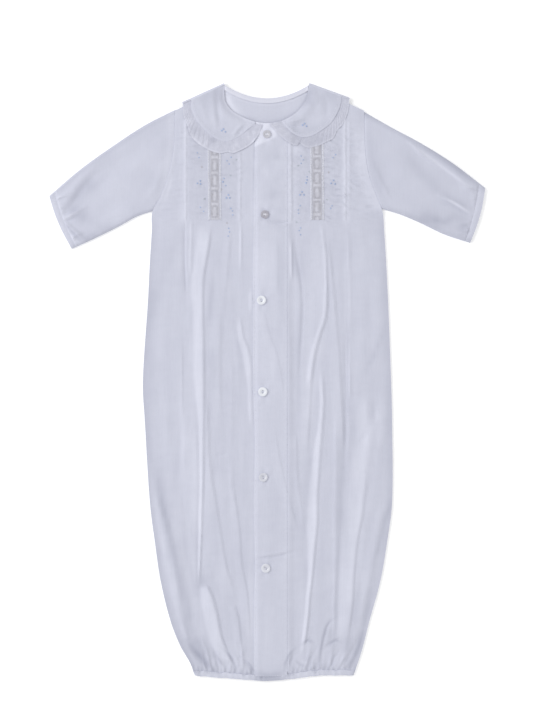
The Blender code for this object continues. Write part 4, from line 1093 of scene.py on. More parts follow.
def flatTube(table, edge, parts, topHeight, underHeight, tone):
    # the outer side of a tube pressed flat, as closed rings
    around = sleeveLook["around"]
    swing = np.linspace(0, np.pi, around + 1)
    across01 = mix((1 - np.cos(swing)) / 2, np.linspace(0, 1, around + 1), 0.25)
    round01 = np.clip(np.minimum(across01, 1 - across01) / 0.03, 0, 1) ** 0.5
    across, down = sleevePlan(table, edge, parts, across01[None, :])
    top, under = topHeight(across, down), underHeight(across, down)
    middle = (top + under) / 2
    upper = toWorld(across, down, mix(middle, top, round01))
    lower = toWorld(across, down, mix(middle, under, round01))
    tones = tone(across, down, across01[None, :] + 0 * across)
    rings = np.concatenate([upper, lower[:, -2:0:-1]], axis=1)
    return rings, np.concatenate([tones, tones[:, -2:0:-1]], axis=1)


def makeSleeve(side):
    look = sleeveLook
    table = look[side]
    edge = leftEdge if side == "left" else rightEdge
    long = math.dist(table[-1][0:2], table[0][0:2])
    stop = 1 - (look["cuffWide"] + 0.2) / long
    # its ends run in under the body's edge and the cuff's, as the seams' allowances
    allowances = np.array([-1.8, -0.9, -0.3]) / long, stop + np.array([0.4, 1.0, 1.8]) / long
    parts = np.concatenate([allowances[0], np.linspace(0.0, stop, look["rows"]), allowances[1]])
    row, wrist = parts[:, None], stop * long

    def topHeight(across, down):
        places = [-1.8, -0.3, 0.0, 0.4, 1.4, 14, wrist - 10, wrist, wrist + 0.4, wrist + 1.8]
        base = np.interp(parts * long, places, [2.1, 2.2, 2.36, 2.6, 2.7, 3.2, 3.2, 3.0, 2.7, 2.5])[:, None]
        inner = plateau(row * long, 0, 3, wrist - 0.5, wrist + 0.2)
        puff = look["puff"] * np.sin(np.pi * np.clip(row / stop, 0, 1)) ** 0.7
        rise = lineHeights(sleeveLines[side], across, down)
        up = np.repeat((stop - row) * long, down.shape[1], axis=1)
        gathers = puckerHeights(look["wristPuckers"], down - table[-1][1], up, 0.0)
        cap = 0.16 * np.sin(2 * np.pi * down / 4.6 + 1.5 * softNoise(down / 9, across * 0, 73))
        cap = cap * (1 - ease(2, 11, row * long))
        slow = 0.55 * softNoise(across / 17, down / 22, 74) + 0.1 * softNoise(across / 5, down / 5, 75)
        return base + inner * (puff + rise + 0.8 * gathers + cap + slow * ease(2, 16, row * long))

    def underHeight(across, down):
        places = [-1.8, -0.3, 0.4, wrist - 0.4, wrist + 0.4, wrist + 1.8]
        base = np.interp(parts * long, places, [1.02, 1.02, 0.0, 0.0, 0.75, 0.75])[:, None]
        inner = plateau(row * long, 0, 8, wrist - 8, wrist)
        return base + 0.3 * inner * np.clip(softNoise(across / 18, down / 26, 76), 0, 1)

    def tone(across, down, across01):
        # painted pale lines along the armhole and cuff seams, partly their doubled cloth, painted shade where
        # the flattened tube turns under at its sides, and strokes of painted shade and light
        seam = (0.36 if side == "left" else 0.24) * bell(row * long - 0.2, 1.2)
        seam = seam + 0.18 * bell((stop - row) * long - 0.2, 1.0)
        if side == "left":
            seam = seam + 0.14 * bell(row * long - 5, 5) * (1 - ease(70, 100, down))
        wide = np.hypot(table[0][2] - table[0][0], table[0][3] - table[0][1]) * (1 - 0.45 * row)
        turned = 1 - ease(0, look["sideShadeWide"], np.minimum(across01, 1 - across01) * wide)
        shades = plainTone + seam - look["sideShade"] * turned + lineHeights(sleevePaintedShading[side], across, down)
        return shades + 0.04 * softNoise(across / 20, down / 20, 78)

    points, tones = flatTube(table, edge, parts, topHeight, underHeight, tone)
    piece = clothFromGrid(
        side + "SleeveCloth", points, batisteCloth, look["wall"], ring=True, flip=(side == "left"), tone=tones)
    finishPiece(piece, "sleeve_" + side, slot="cotton_batiste")
    return stop


def makeCuff(side, stop):
    look = sleeveLook
    table = look[side]
    edge = leftEdge if side == "left" else rightEdge
    parts = np.linspace(stop, 1.0, look["cuffRows"])
    row = ((parts - stop) / (1 - stop))[:, None]

    def topHeight(across, down):
        bulge = 0.42 * np.sin(np.pi * row)
        ripple = 0.14 * np.sin(2 * np.pi * down / 3.4 + 1.5 * softNoise(down / 5, across * 0 + len(side), 77))
        stitch = 0.06 * bell(row - 0.82, 0.07)
        return 3.02 + bulge + ripple * np.sin(np.pi * row) - stitch

    def underHeight(across, down):
        return 0.0 * across

    def tone(across, down, across01):
        # paler all over as doubled cloth, with a painted pale line at its seam and painted shade where the tube
        # turns under at its ends
        ends = 1 - ease(0, 0.16, np.minimum(across01, 1 - across01))
        shade = 0.08 + 0.16 * bell(row, 0.14) - 0.32 * ends
        return plainTone + shade + 0.05 * softNoise(down / 3, across / 9, 79)

    points, tones = flatTube(table, edge, parts, topHeight, underHeight, tone)
    piece = clothFromGrid(
        side + "CuffCloth", points, batisteCloth, look["cuffWall"],
        ring=True, flip=(side == "left"), tone=tones)
    finishPiece(piece, "cuff_" + side, slot="cotton_batiste")
    return piece


# casing with the elastic in it

casingLook = {"wall": 0.4, "top": 3.0, "swell": 0.6, "pitch": 6.4, "rise": 0.3, "around": 380, "rings": 11}


def makeCasing():
    look = casingLook
    part = np.linspace(0, 1, look["around"] + 1)
    round01 = np.clip(np.minimum(part, 1 - part) / 0.012, 0, 1) ** 0.5
    rings, tones = [], []
    for n in range(look["rings"]):
        row = n / (look["rings"] - 1)
        drop = body["casingWide"] * (1 - row)
        left, right = float(leftEdge(590 - drop)), float(rightEdge(590 - drop))
        across = mix(left, right, part)
        wander = 0.8 * softNoise(across / 5, across * 0, 83)
        phase = across / look["pitch"] + 0.7 * softNoise(across / 15, across * 0, 40)
        waves = 0.6 * softNoise(across / 3.1, across * 0, 82) + 0.5 * np.sin(2 * np.pi * phase)
        bulge = look["swell"] * math.sin(math.pi * row) ** 0.5
        fold = -0.2 * bell(row, 0.1) - 0.1 * bell(row - 0.2, 0.06)
        down = hemLine(across) - drop + wander * (1 - 0.5 * row)
        top = look["top"] + bulge + fold + look["rise"] * waves * mix(1, 0.5, row)
        upper = toWorld(across, down, mix(top / 2, top, round01))
        lower = toWorld(across, down, top / 2 * (1 - round01) + 0.02)
        rings.append(np.concatenate([upper, lower[-2:0:-1]], axis=0))
        side = np.minimum(part, 1 - part) * (right - left)
        middle = np.exp(-(((across - 4) / 17) ** 4))
        # painted shade in the gathers along its top, under the placket's foot and where the tube turns under at
        # its ends, and painted light on its waves' tops
        gatherShade = np.clip(softNoise(across / 4.5, across * 0, 86) - 0.1, 0, 1) * bell(row - 0.1, 0.35)
        seam = 0.3 * softNoise(across / 11, across * 0, 87) * bell(row, 0.4)
        shade = plainTone + 0.12 - 0.7 * gatherShade + seam + 0.12 * waves
        shade = shade - 0.35 * (1 - ease(0, 12, side)) - 0.6 * middle
        tones.append(np.concatenate([shade, shade[-2:0:-1]]))
    piece = clothFromGrid(
        "casingCloth", np.array(rings), batisteCloth, look["wall"], ring=True, flip=True, tone=np.array(tones))
    finishPiece(piece, "hem_casing", slot="cotton_batiste")
    return piece


# collar and its frill

collarLook = {
    "wrap": 2.45, "wall": 0.42, "roll": 0.9, "clothAtShoulder": 0.80,
    "shoulderLeft": ((-41.5, -0.5), (-83.5, 18.3)), "shoulderRight": ((44.0, -1.0), (84.5, 14.0)),
    "backCloth": 38.0, "backLace": 49.0,
    "rows": 34, "columns": 90, "backColumns": 110,
    "leftCloth": [
        (-10.5, 40.6), (-18.0, 46.0), (-26.5, 52.8), (-35.5, 56.8), (-45.5, 56.8),
        (-55.0, 51.5), (-64.5, 42.8), (-71.5, 32.5), (-74.5, 24.0),
    ],
    "rightCloth": [
        (16.5, 38.5), (21.5, 44.6), (28.0, 50.2), (36.5, 53.4), (46.0, 52.2),
        (56.0, 46.6), (65.0, 39.6), (71.5, 29.4), (75.0, 20.5),
    ],
    "leftLace": [
        (-3.2, 41.0), (-4.6, 44.5), (-8.0, 53.0), (-14.5, 60.5), (-23.0, 65.6), (-31.5, 69.2),
        (-38.0, 68.2), (-44.5, 69.6), (-53.0, 67.8), (-61.0, 63.8), (-69.0, 58.5), (-75.5, 50.5),
        (-78.0, 42.0), (-80.0, 37.5), (-82.2, 30.0),
    ],
    "rightLace": [
        (3.8, 40.4), (7.6, 44.6), (11.6, 49.2), (18.2, 55.2), (25.0, 60.0), (31.0, 61.8),
        (34.2, 59.0), (37.4, 61.9), (42.4, 64.0), (47.6, 63.2), (54.5, 61.4), (61.6, 57.8),
        (67.6, 54.6), (72.0, 46.0), (77.0, 41.0), (79.6, 36.0), (82.8, 26.0),
    ],
}


def frontLevel(across):
    # the collar's upper side, higher where the placket lies under it
    step = plateau(across, frontLook["bandLeft"] - 12, frontLook["bandLeft"] - 2, 24, 34)
    return layer * (3 + step) + body["wall"]


def foldAxis(edge):
    (x0, y0), (x1, y1) = edge
    length = math.hypot(x1 - x0, y1 - y0)
    out = np.array([(y1 - y0) / length, -(x1 - x0) / length])
    if out[1] > 0:
        out = -out
    wrap = collarLook["wrap"]
    return np.array([x0, y0]) - out * wrap, np.array([x1, y1]) - out * wrap, out


def petalEdges(side, count):
    # places along the petal from its front end to the shoulder, and its neck, cloth and lace edges there
    look = collarLook
    start, end, _ = foldAxis(look["shoulderLeft" if side == "left" else "shoulderRight"])
    clothEnd = mix(start, end, look["clothAtShoulder"])
    part = np.linspace(0, 1, count)
    cloth = np.stack(alongRows(look[side + "Cloth"] + [tuple(clothEnd)], part), axis=-1)
    lace = np.stack(alongRows(look[side + "Lace"] + [tuple(end)], part), axis=-1)
    first = look[side + "Cloth"][0][0]
    lean = (first + look[side + "Lace"][0][0] * 0.05 - body["neckMiddle"]) / body["neckHalf"]
    angle = mix(math.asin(lean), math.copysign(math.pi / 2, lean), part)
    neckAcross = body["neckMiddle"] + body["neckHalf"] * np.sin(angle)
    neck = np.stack([neckAcross, body["neckTop"] + body["frontNeckDeep"] * np.cos(angle)], axis=-1)
    if side == "left":
        neck[:, 0] -= neckSlack(neck[:, 1])
    neck[-1] = start
    return part, neck, cloth, lace


def backEdges(count):
    look = collarLook
    left, leftEnd, _ = foldAxis(look["shoulderLeft"])
    right, rightEnd, _ = foldAxis(look["shoulderRight"])
    part = np.linspace(0, 1, count)
    swing = ((1 - np.cos(np.pi * part)) / 2)[:, None]
    bulge = np.sin(np.pi * part)
    neckAcross = mix(left[0], right[0], part)
    neck = np.stack([neckAcross, backNeck(neckAcross)], axis=-1)
    corners = [mix(*ends, look["clothAtShoulder"]) for ends in ((left, leftEnd), (right, rightEnd))]
    cloth = mix(*corners, swing)
    lace = mix(leftEnd, rightEnd, swing)
    cloth[:, 1] += look["backCloth"] * bulge
    lace[:, 1] += look["backLace"] * bulge
    return neck, cloth, lace


def turnColumns(line, edge, degrees):
    # columns round the shoulder's fold, line being (rows, 2) points on its axis
    _, _, out = foldAxis(edge)
    made = []
    for degree in degrees:
        reach, rise = math.cos(math.radians(degree)), math.sin(math.radians(degree))
        plan = line + out * collarLook["wrap"] * reach
        made.append(toWorld(plan[:, 0], plan[:, 1], np.full(len(line), collarLook["wrap"] * (1 + rise))))
    return made


def collarRoll(part, alongWidth, width):
    side = plateau(part, 0, 0.25, 0.75, 1)
    rise = collarLook["roll"] * np.minimum(1, width / 16) * side
    return rise * np.sin(np.pi * np.minimum(1, alongWidth * width / 15)) ** 2


collarLines = {
    "left": [
        (3.2, 0.9, [(-54, 6), (-53, 18), (-51, 32), (-49, 46)]),
        (2.6, -0.9, [(-48.5, 4), (-48, 16), (-47, 30), (-46, 42)]),
        (2.2, 0.9, [(-33, 53), (-28, 46), (-22, 40.5)]),
        (2.4, -0.6, [(-29, 52), (-24, 46), (-19, 42)]),
        (3.0, 0.5, [(-66, 16), (-62, 28), (-56, 40)]),
    ],
    "right": [
        (1.6, 1.0, [(18, 38.5), (24, 38), (31, 37), (37, 35.5)]),
        (1.8, -0.9, [(20, 42), (27, 42.8), (34, 42.4)]),
        (1.8, 0.6, [(23, 43), (28, 48), (35, 51)]),
        (4.0, 0.6, [(50, 10), (54, 20), (56, 32)]),
        (2.6, -0.5, [(60, 14), (62, 24), (61, 34)]),
    ],
}


def roundTheNeck(left, back, right):
    # one grid from the left front over its shoulder, round the back, to the right front
    turn = np.linspace(75, -75, 9)
    columns = left + turnColumns(back[0], collarLook["shoulderLeft"], turn)
    columns += [toWorld(line[:, 0], line[:, 1], 0.02 + 0 * line[:, 0]) for line in back]
    columns += turnColumns(back[-1], collarLook["shoulderRight"], turn[::-1]) + right[::-1]
    return np.stack(columns, axis=1)


def collarColumns(side, rows):
    # the columns of one front half, and their tones
    part, neck, cloth, _ = petalEdges(side, collarLook["columns"])
    made, tones = [], []
    for n in range(len(part)):
        plan = mix(neck[n], cloth[n], rows[:, None])
        across, down = plan[:, 0], plan[:, 1]
        width = float(np.linalg.norm(cloth[n] - neck[n]))
        neckAway, edgeAway = rows * width, (1 - rows) * width
        # it lies lower at the neck and at its edge, with a turned hem along the edge
        height = frontLevel(across) + collarRoll(part[n], rows, width)
        height = height - 1.0 * bell(neckAway, 4.0) - 0.3 * bell(edgeAway, 1.6)
        height = height + 0.1 * bell(edgeAway - 2.2, 1.3) - 0.08 * bell(edgeAway - 4.0, 0.7)
        height = height + 0.3 * softNoise(across / 14, down / 14, 91)
        height = height + 0.06 * softNoise(across / 4, down / 4, 92)
        made.append(toWorld(across, down, height + lineHeights(collarLines[side], across, down)))
        # a paler turned hem along the edge, and painted light along the neck edge against the shade there
        shade = 0.1 * bell(edgeAway - 1.0, 1.3) + 0.2 * bell(neckAway, 1.6)
        shade = shade + lineHeights(collarPaintedShading, across, down)
        fine = 0.05 * softNoise(across / 9, down / 9, 93) + 0.03 * softNoise(across / 3, down / 3, 94)
        tones.append(plainTone + shade + fine)
    return made, np.stack(tones, axis=1)


def makeCollar():
    look = collarLook
    rows = np.linspace(0, 1, look["rows"])
    left, leftTones = collarColumns("left", rows)
    right, rightTones = collarColumns("right", rows)
    neck, cloth, _ = backEdges(look["backColumns"])
    back = [mix(neck[n], cloth[n], rows[:, None]) for n in range(len(neck))]
    points = roundTheNeck(left, back, right)
    tone = np.full(points.shape[:2], plainTone + 0.04)
    tone[:, :len(left)] = leftTones
    tone[:, -len(right):] = rightTones[:, ::-1]
    piece = clothFromGrid("collarCloth", points, batisteCloth, look["wall"], tone=tone)
    finishPiece(piece, "collar", slot="cotton_batiste")
    return piece


frillLook = {
    "wall": 0.22, "rows": 17, "columns": 220, "backColumns": 200,
    "pitch": 13.5, "rise": 0.5, "lap": 1.4, "long": 120.0,
    "motif": 6.4,  # length of one repeat of the lace's pattern along the collar's edge
}


def motifAway(along, part):
    # distance from the middle of the nearest scallop of the lace's pattern
    across = (along / frillLook["motif"]) % 1.0
    return np.hypot((across - 0.5) * 1.5, (part - 0.62) * 2.1)


def laceHoles(along, part):
    # where the net is open: small eyelets in rows between denser scallops
    net = (np.sin(2 * np.pi * along / 2.1) * np.sin(2 * np.pi * part * 4.0)) > 0.72
    rail = (part < 0.16) | (part > 0.9)
    return net & (motifAway(along, part) >= 0.34) & ~rail


def laceTone(along, part):
    # the denser thread of the scallops and of the edge shows paler; the edge and the outer part are paler still
    # as painted light against the frill's shadow
    leaf = bell(motifAway(along, part) - 0.27, 0.09)
    weave = 0.5 + 0.5 * np.sin(2 * np.pi * along / 1.05) * np.sin(2 * np.pi * part * 8.0)
    edge = bell(part - 0.97, 0.05) + 0.7 * bell(part - 0.12, 0.05)
    return 0.37 + 0.18 * leaf + 0.06 * weave + 0.22 * edge + 0.16 * ease(0.8, 0.96, part)


def frillColumns(side, rows):
    look = frillLook
    part, _, cloth, lace = petalEdges(side, look["columns"])
    made = []
    for n in range(len(part)):
        wide = np.linalg.norm(lace[n] - cloth[n])
        start = -look["lap"] / max(1.0, wide)
        plan = mix(cloth[n], lace[n], mix(start, 1, rows)[:, None])
        across, down = plan[:, 0], plan[:, 1]
        length = part[n] * look["long"]
        phase = length / look["pitch"] + 0.5 * softNoise(length / 21, 0.0, 95 if side == "left" else 96)
        # closer gathers up towards the shoulder
        phase = phase + 3.2 * max(0.0, part[n] - 0.55) ** 1.5 * look["long"] / look["pitch"]
        wave = 0.5 + 0.5 * np.sin(2 * np.pi * phase + 0.9 * rows)
        wave = wave + 0.25 * np.sin(4 * np.pi * phase + 1.9 + 0.6 * rows)
        fine = np.sin(2 * np.pi * length / 3.1 + 2.4 * softNoise(length / 6, 1.0, 97))
        quiet = 1 - ease(0.86, 1, part[n])
        under = frontLevel(across) - 0.85
        step = plateau(across, frontLook["bandLeft"] - 2, frontLook["bandLeft"] + 1, 24, 32)
        onFront = layer + body["wall"] + pad(across, down) + loft(across, down) + 0.62 + layer * step
        height = mix(under, np.minimum(under + 0.3, onFront), ease(0.05, 0.95, rows) * quiet)
        gather = look["rise"] * np.clip(wave, 0, 1.4) * rows ** 0.8 * (1 - 0.65 * ease(0.7, 1, rows)) * quiet
        made.append(toWorld(across, down, height + gather + 0.04 * fine * (1 - 0.6 * rows)))
    return made


def makeFrill():
    look = frillLook
    rows = np.linspace(0, 1, look["rows"])
    _, cloth, lace = backEdges(look["backColumns"])
    back = [mix(cloth[n], lace[n], mix(0.02, 1, rows)[:, None]) for n in range(len(cloth))]
    points = roundTheNeck(frillColumns("left", rows), back, frillColumns("right", rows))
    run = np.linalg.norm(np.diff(points[8], axis=0, prepend=points[8][:1]), axis=-1).cumsum() / mm
    middleRun = (run[1:] + run[:-1]) / 2
    middlePart = (rows[1:] + rows[:-1]) / 2
    keep = ~laceHoles(middleRun[None, :], middlePart[:, None])
    shades = lineHeights(frillPaintedShading, points[..., 0] / mm - centreX, topY - points[..., 1] / mm)
    tone = laceTone(run[None, :], rows[:, None]) + shades * (points[..., 2] > 2.5 * mm)
    piece = clothFromGrid("frillCloth", points, clothFinish("frillLace"), look["wall"], keep=keep, tone=tone)
    finishPiece(piece, "collar_lace", slot="cotton_lace")
    return piece


# lace let into the front

insertionLook = {
    "wall": 0.25, "lift": 0.3, "top": 58.0, "columns": 24, "cell": 0.42, "pitch": {"left": 15.5, "right": 14.5},
}
insertionStuff = clothFinish("insertionLace")


def laceWander(down):
    # how far the let-in lace strays to the right of a straight line
    return 0.35 * softNoise(down / 13, down * 0, 101)


def makeInsertion(side):
    look = insertionLook
    low, high = frontLook["laceLeft"] if side == "left" else frontLook["laceRight"]
    rows = int((frontLook["laceEnd"] - look["top"]) / look["cell"])
    across = np.linspace(low, high, look["columns"] + 1)[None, :] + np.zeros((rows + 1, 1))
    down = np.linspace(look["top"], frontLook["laceEnd"], rows + 1)[:, None] + np.zeros_like(across)
    across = across + laceWander(down)

    def patternPlace(across, down):
        # from -1 to 1 over the strip's width, from -0.5 to 0.5 over one repeat, and how far out in its oval
        x = (across - (low + high) / 2) / ((high - low) / 2)
        y = ((down - look["top"]) / look["pitch"][side]) % 1.0 - 0.5
        return x, y, np.hypot(x / 0.52, y / 0.36)

    middleAcross = (across[1:, 1:] + across[:-1, :-1]) / 2
    middleDown = (down[1:, 1:] + down[:-1, :-1]) / 2
    x, y, oval = patternPlace(middleAcross, middleDown)
    net = (np.sin(2 * np.pi * middleAcross / 1.45) * np.sin(2 * np.pi * middleDown / 1.45)) < -0.45
    keep = ~(net & (oval > 0.85) & (np.abs(x) < 0.82) & (np.abs(y) < 0.42))
    x, y, oval = patternPlace(across, down)
    wobble = 0.18 * softNoise(across / 1.6, down / 2.2, 104)
    inside = 1 - ease(0.15, 0.62, np.abs(x) + wobble + 0.35 * oval * (np.abs(y) > 0.3))
    arc = bell(np.abs(y) - 0.5 + 0.1 * x * x, 0.09) * (1 - ease(0.6, 0.9, np.abs(x)))
    rail = ease(0.75, 0.95, np.abs(x))
    speck = 0.5 + 0.5 * softNoise(across / 0.9, down / 0.9, 103)
    blotch = softNoise(across / 2.1, down / 2.9, 105)
    # the lace's pattern in tone: pale dense middle, arcs and rails, darker between them as its thread and
    # painted shade in its open work
    tone = 0.06 + 0.36 * inside + 0.34 * arc + 0.18 * rail + 0.16 * speck + 0.16 * blotch
    height = frontTop(across, down, side == "right") + look["lift"] + 0.08 * inside + 0.1 * arc
    points = toWorld(across, down, height)
    piece = clothFromGrid(
        side + "InsertionCloth", points, insertionStuff, look["wall"], flip=True, keep=keep, tone=tone)
    finishPiece(piece, "lace_insertion_" + side, slot="cotton_lace")
    return piece


# buttons

buttonPlaces = [  # across, down, finish, turn in degrees, size
    (1.3, 50.5, "palegreyPearl", 12, 0.88), (-0.7, 130.6, "greyPearl", -6, 0.88),
    (-4.2, 216.3, "whitePearl", 3, 1.0),
    (-2.8, 307.7, "whitePearl", -8, 1.0), (-2.3, 393.1, "palePearl", 5, 0.96),
    (0.2, 483.8, "palePearl", 40, 1.0),
]
# the middle is paler on the grey buttons, partly painted light against the dish's shadow, and darker on the
# white and pale ones as painted shade in the dish
buttonFinishes = {  # rim, cloudy patches in the rim, middle
    "palegreyPearl": ((0.56, 0.56, 0.62), (0.49, 0.49, 0.55), (0.74, 0.75, 0.83)),
    "greyPearl": ((0.45, 0.44, 0.50), (0.37, 0.36, 0.42), (0.72, 0.72, 0.80)),
    "whitePearl": ((0.83, 0.85, 0.90), (0.76, 0.78, 0.84), (0.60, 0.62, 0.72)),
    "palePearl": ((0.72, 0.73, 0.80), (0.63, 0.64, 0.71), (0.58, 0.59, 0.68)),
}
buttonLook = {"wide": 9.1, "thick": 2.1, "rim": 1.7, "holeWide": 0.95, "holeApart": 2.3, "middleWide": 3.6}


def modelButton(stuff, middleStuff):
    # a turned shirt button with a dished middle and two thread holes
    look = buttonLook
    half = look["wide"] / 2 * mm
    bpy.ops.object.select_all(action="DESELECT")
    thick = look["thick"] * mm
    bpy.ops.mesh.primitive_cylinder_add(vertices=48, radius=half, depth=thick, location=(0, 0, thick / 2))
    button = bpy.context.active_object
    bpy.ops.object.mode_set(mode="EDIT")
    bpy.ops.mesh.select_mode(type="FACE")
    bpy.ops.mesh.select_all(action="DESELECT")
    bpy.ops.object.mode_set(mode="OBJECT")
    for face in button.data.polygons:
        face.select = face.normal.z > 0.9
    bpy.ops.object.mode_set(mode="EDIT")
    bpy.ops.mesh.inset(thickness=look["rim"] * mm, depth=0)
    bpy.ops.mesh.inset(thickness=0.5 * mm, depth=-0.4 * mm)
    bpy.ops.mesh.inset(thickness=0.7 * mm, depth=-0.1 * mm)
    bpy.ops.object.mode_set(mode="OBJECT")
    for sign in (-1, 1):
        bpy.ops.object.select_all(action="DESELECT")
        place = (0, sign * look["holeApart"] / 2 * mm, 0)
        bpy.ops.mesh.primitive_cylinder_add(
            vertices=16, radius=look["holeWide"] / 2 * mm, depth=6 * mm, location=place)
        drill = bpy.context.active_object
        cut = button.modifiers.new("hole", "BOOLEAN")
        cut.operation = "DIFFERENCE"
        cut.object = drill
        selectOnly(button)
        bpy.ops.object.modifier_apply(modifier="hole")
        bpy.data.objects.remove(drill, do_unlink=True)
    round_ = button.modifiers.new("round", "BEVEL")
    round_.width = 0.32 * mm
    round_.segments = 3
    round_.limit_method = "ANGLE"
    round_.angle_limit = math.radians(38)
    selectOnly(button)
    bpy.ops.object.modifier_apply(modifier="round")
    bpy.ops.object.shade_smooth_by_angle(angle=math.radians(40))
    button.data.materials.append(stuff)
    button.data.materials.append(middleStuff)
    for face in button.data.polygons:
        if face.center.xy.length < look["middleWide"] / 2 * mm and face.center.z > 0.3 * mm:
            face.material_index = 1
    return button


def modelShank(stuff):
    # the sewing thread through the two holes
    bpy.ops.object.select_all(action="DESELECT")
    bpy.ops.mesh.primitive_cylinder_add(
        vertices=10, radius=0.45 * mm, depth=buttonLook["holeApart"] * mm,
        location=(0, 0, 1.75 * mm), rotation=(math.radians(90), 0, 0))
    thread = bpy.context.active_object
    bpy.ops.object.transform_apply(location=False, rotation=True, scale=False)
    bpy.ops.object.mode_set(mode="EDIT")
    bpy.ops.mesh.select_all(action="SELECT")
    bpy.ops.mesh.subdivide(number_cuts=2)
    bpy.ops.object.mode_set(mode="OBJECT")
    for point in thread.data.vertices:
        point.co.z -= 0.5 * mm * (abs(point.co.y) / (1.2 * mm)) ** 2
    thread.data.materials.append(stuff)
    bpy.ops.object.shade_smooth()
    return thread


def copyTo(model, name, across, down, height, turn, size=1.0):
    # a copy with its own mesh, its place put into the mesh
    piece = bpy.data.objects.new(name, model.data.copy())
    bpy.context.scene.collection.objects.link(piece)
    piece.location = toWorld(across, down, height).tolist()
    piece.rotation_euler = (0, 0, turn)
    piece.scale = (size, size, size)
    selectOnly(piece)
    bpy.ops.object.transform_apply(location=True, rotation=True, scale=True)
    return piece


def makeButtons():
    models = {}
    for name, (rim, cloud, middle) in buttonFinishes.items():
        middleStuff = pearl(name + "Middle", middle, [0.95 * c for c in middle])
        models[name] = modelButton(pearl(name, rim, cloud), middleStuff)
    shank = modelShank(threads["whiteThread"])
    for n, (across, down, finish, degrees, size) in enumerate(buttonPlaces, 1):
        low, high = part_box(f"button_{n}")
        turn = math.radians(degrees)
        button = copyTo(models[finish], f"pearlButton{n}", across, down, low.z / mm, turn, size)
        finishPiece(button, f"button_{n}", slot="pearl_button")
        finishPiece(copyTo(shank, f"buttonThread{n}", across, down, low.z / mm, turn, size))
    for model in list(models.values()) + [shank]:
        bpy.data.objects.remove(model, do_unlink=True)


# needlework

knotPlaces = {
    "collarLeft": [(-42.0, 45.5), (-43.7, 47.0), (-40.0, 48.2)],
    "collarRight": [(39.0, 40.0), (37.0, 41.5), (41.0, 42.5)],
    "outerLeft": [(-68.0, 69.0), (-66.5, 73.8), (-68.0, 99.5), (-65.2, 97.0), (-65.0, 100.0), (-65.0, 123.5),
        (-61.8, 127.5)],
    "innerLeft": [
        (-34.5, 73.5), (-38.5, 77.0), (-36.3, 80.2), (-41.5, 94.5), (-42.5, 98.0), (-39.7, 101.7),
        (-37.0, 111.0), (-39.0, 114.0),
        (-35.8, 114.0), (-34.7, 124.5), (-33.0, 127.0), (-32.7, 131.0), (-36.7, 144.5), (-36.0, 148.0),
        (-37.3, 152.2),
    ],
    "innerRight": [
        (35.5, 72.2), (37.7, 76.0), (35.5, 79.5), (41.5, 93.0), (41.5, 96.0), (40.5, 99.0), (36.5, 108.0),
        (34.5, 111.0),
        (38.3, 111.0), (34.7, 121.8), (32.8, 126.0), (33.0, 129.5), (35.0, 144.0), (33.7, 146.7), (35.0, 150.8),
    ],
    "outerRight": [(70.0, 71.0), (67.3, 74.0), (68.0, 96.5), (65.5, 99.5), (69.5, 100.0), (66.5, 122.0),
        (65.0, 124.5)],
}
leafPlaces = [
    (-63.5, 83.0), (-29.0, 76.0), (-35.0, 91.5), (-44.0, 105.5), (32.5, 82.0), (44.0, 88.0), (63.0, 88.5),
    (-61.0, 115.0), (61.5, 116.0), (-38.5, 139.0), (31.0, 138.5),
]


def modelKnot(stuff):
    # a french knot: thread wound twice round, with its end pulled through the middle
    bpy.ops.object.select_all(action="DESELECT")
    bpy.ops.mesh.primitive_torus_add(
        major_segments=14, minor_segments=7, major_radius=0.48 * mm, minor_radius=0.34 * mm,
        location=(0, 0, 0.3 * mm))
    knot = bpy.context.active_object
    bpy.ops.mesh.primitive_uv_sphere_add(
        segments=10, ring_count=6, radius=0.42 * mm, location=(0.05 * mm, 0, 0.48 * mm))
    bpy.context.active_object.select_set(True)
    knot.select_set(True)
    bpy.context.view_layer.objects.active = knot
    bpy.ops.object.join()
    bpy.ops.object.transform_apply(location=True, rotation=True, scale=True)
    for point in knot.data.vertices:
        angle = math.atan2(point.co.y, point.co.x)
        point.co.z += 0.08 * mm * math.sin(3 * angle)
    bpy.ops.object.shade_smooth()
    knot.data.materials.append(stuff)
    return knot


def modelLeaf(stuff):
    # one lazy-daisy stitch, a thread loop closed at its tip
    bpy.ops.object.select_all(action="DESELECT")
    bpy.ops.mesh.primitive_torus_add(
        major_segments=18, minor_segments=6, major_radius=0.9 * mm, minor_radius=0.2 * mm,
        location=(0, 0, 0.12 * mm))
    leaf = bpy.context.active_object
    bpy.ops.object.transform_apply(location=True, rotation=True, scale=True)
    for point in leaf.data.vertices:
        pull = 1 - 0.55 * max(0.0, point.co.y / (0.9 * mm))
        point.co.x *= 0.55 * pull
    bpy.ops.object.shade_smooth()
    leaf.data.materials.append(stuff)
    return leaf


def joinCopies(copies, name):
    bpy.ops.object.select_all(action="DESELECT")
    for piece in copies:
        piece.select_set(True)
    bpy.context.view_layer.objects.active = copies[0]
    bpy.ops.object.join()
    joined = bpy.context.active_object
    joined.name = name
    bpy.ops.object.transform_apply(location=True, rotation=True, scale=True)
    return joined


def treeOf(*pieces):
    graph = bpy.context.evaluated_depsgraph_get()
    return [BVHTree.FromObject(piece, graph) for piece in pieces]


def topOf(trees, across, down):
    # height in mm of the highest cloth at a place
    start = toWorld(across, down, 50.0).tolist()
    best = 0.0
    for tree in trees:
        hit = tree.ray_cast(start, Vector((0, 0, -1)))
        if hit[0] is not None:
            best = max(best, hit[0].z / mm)
    return best


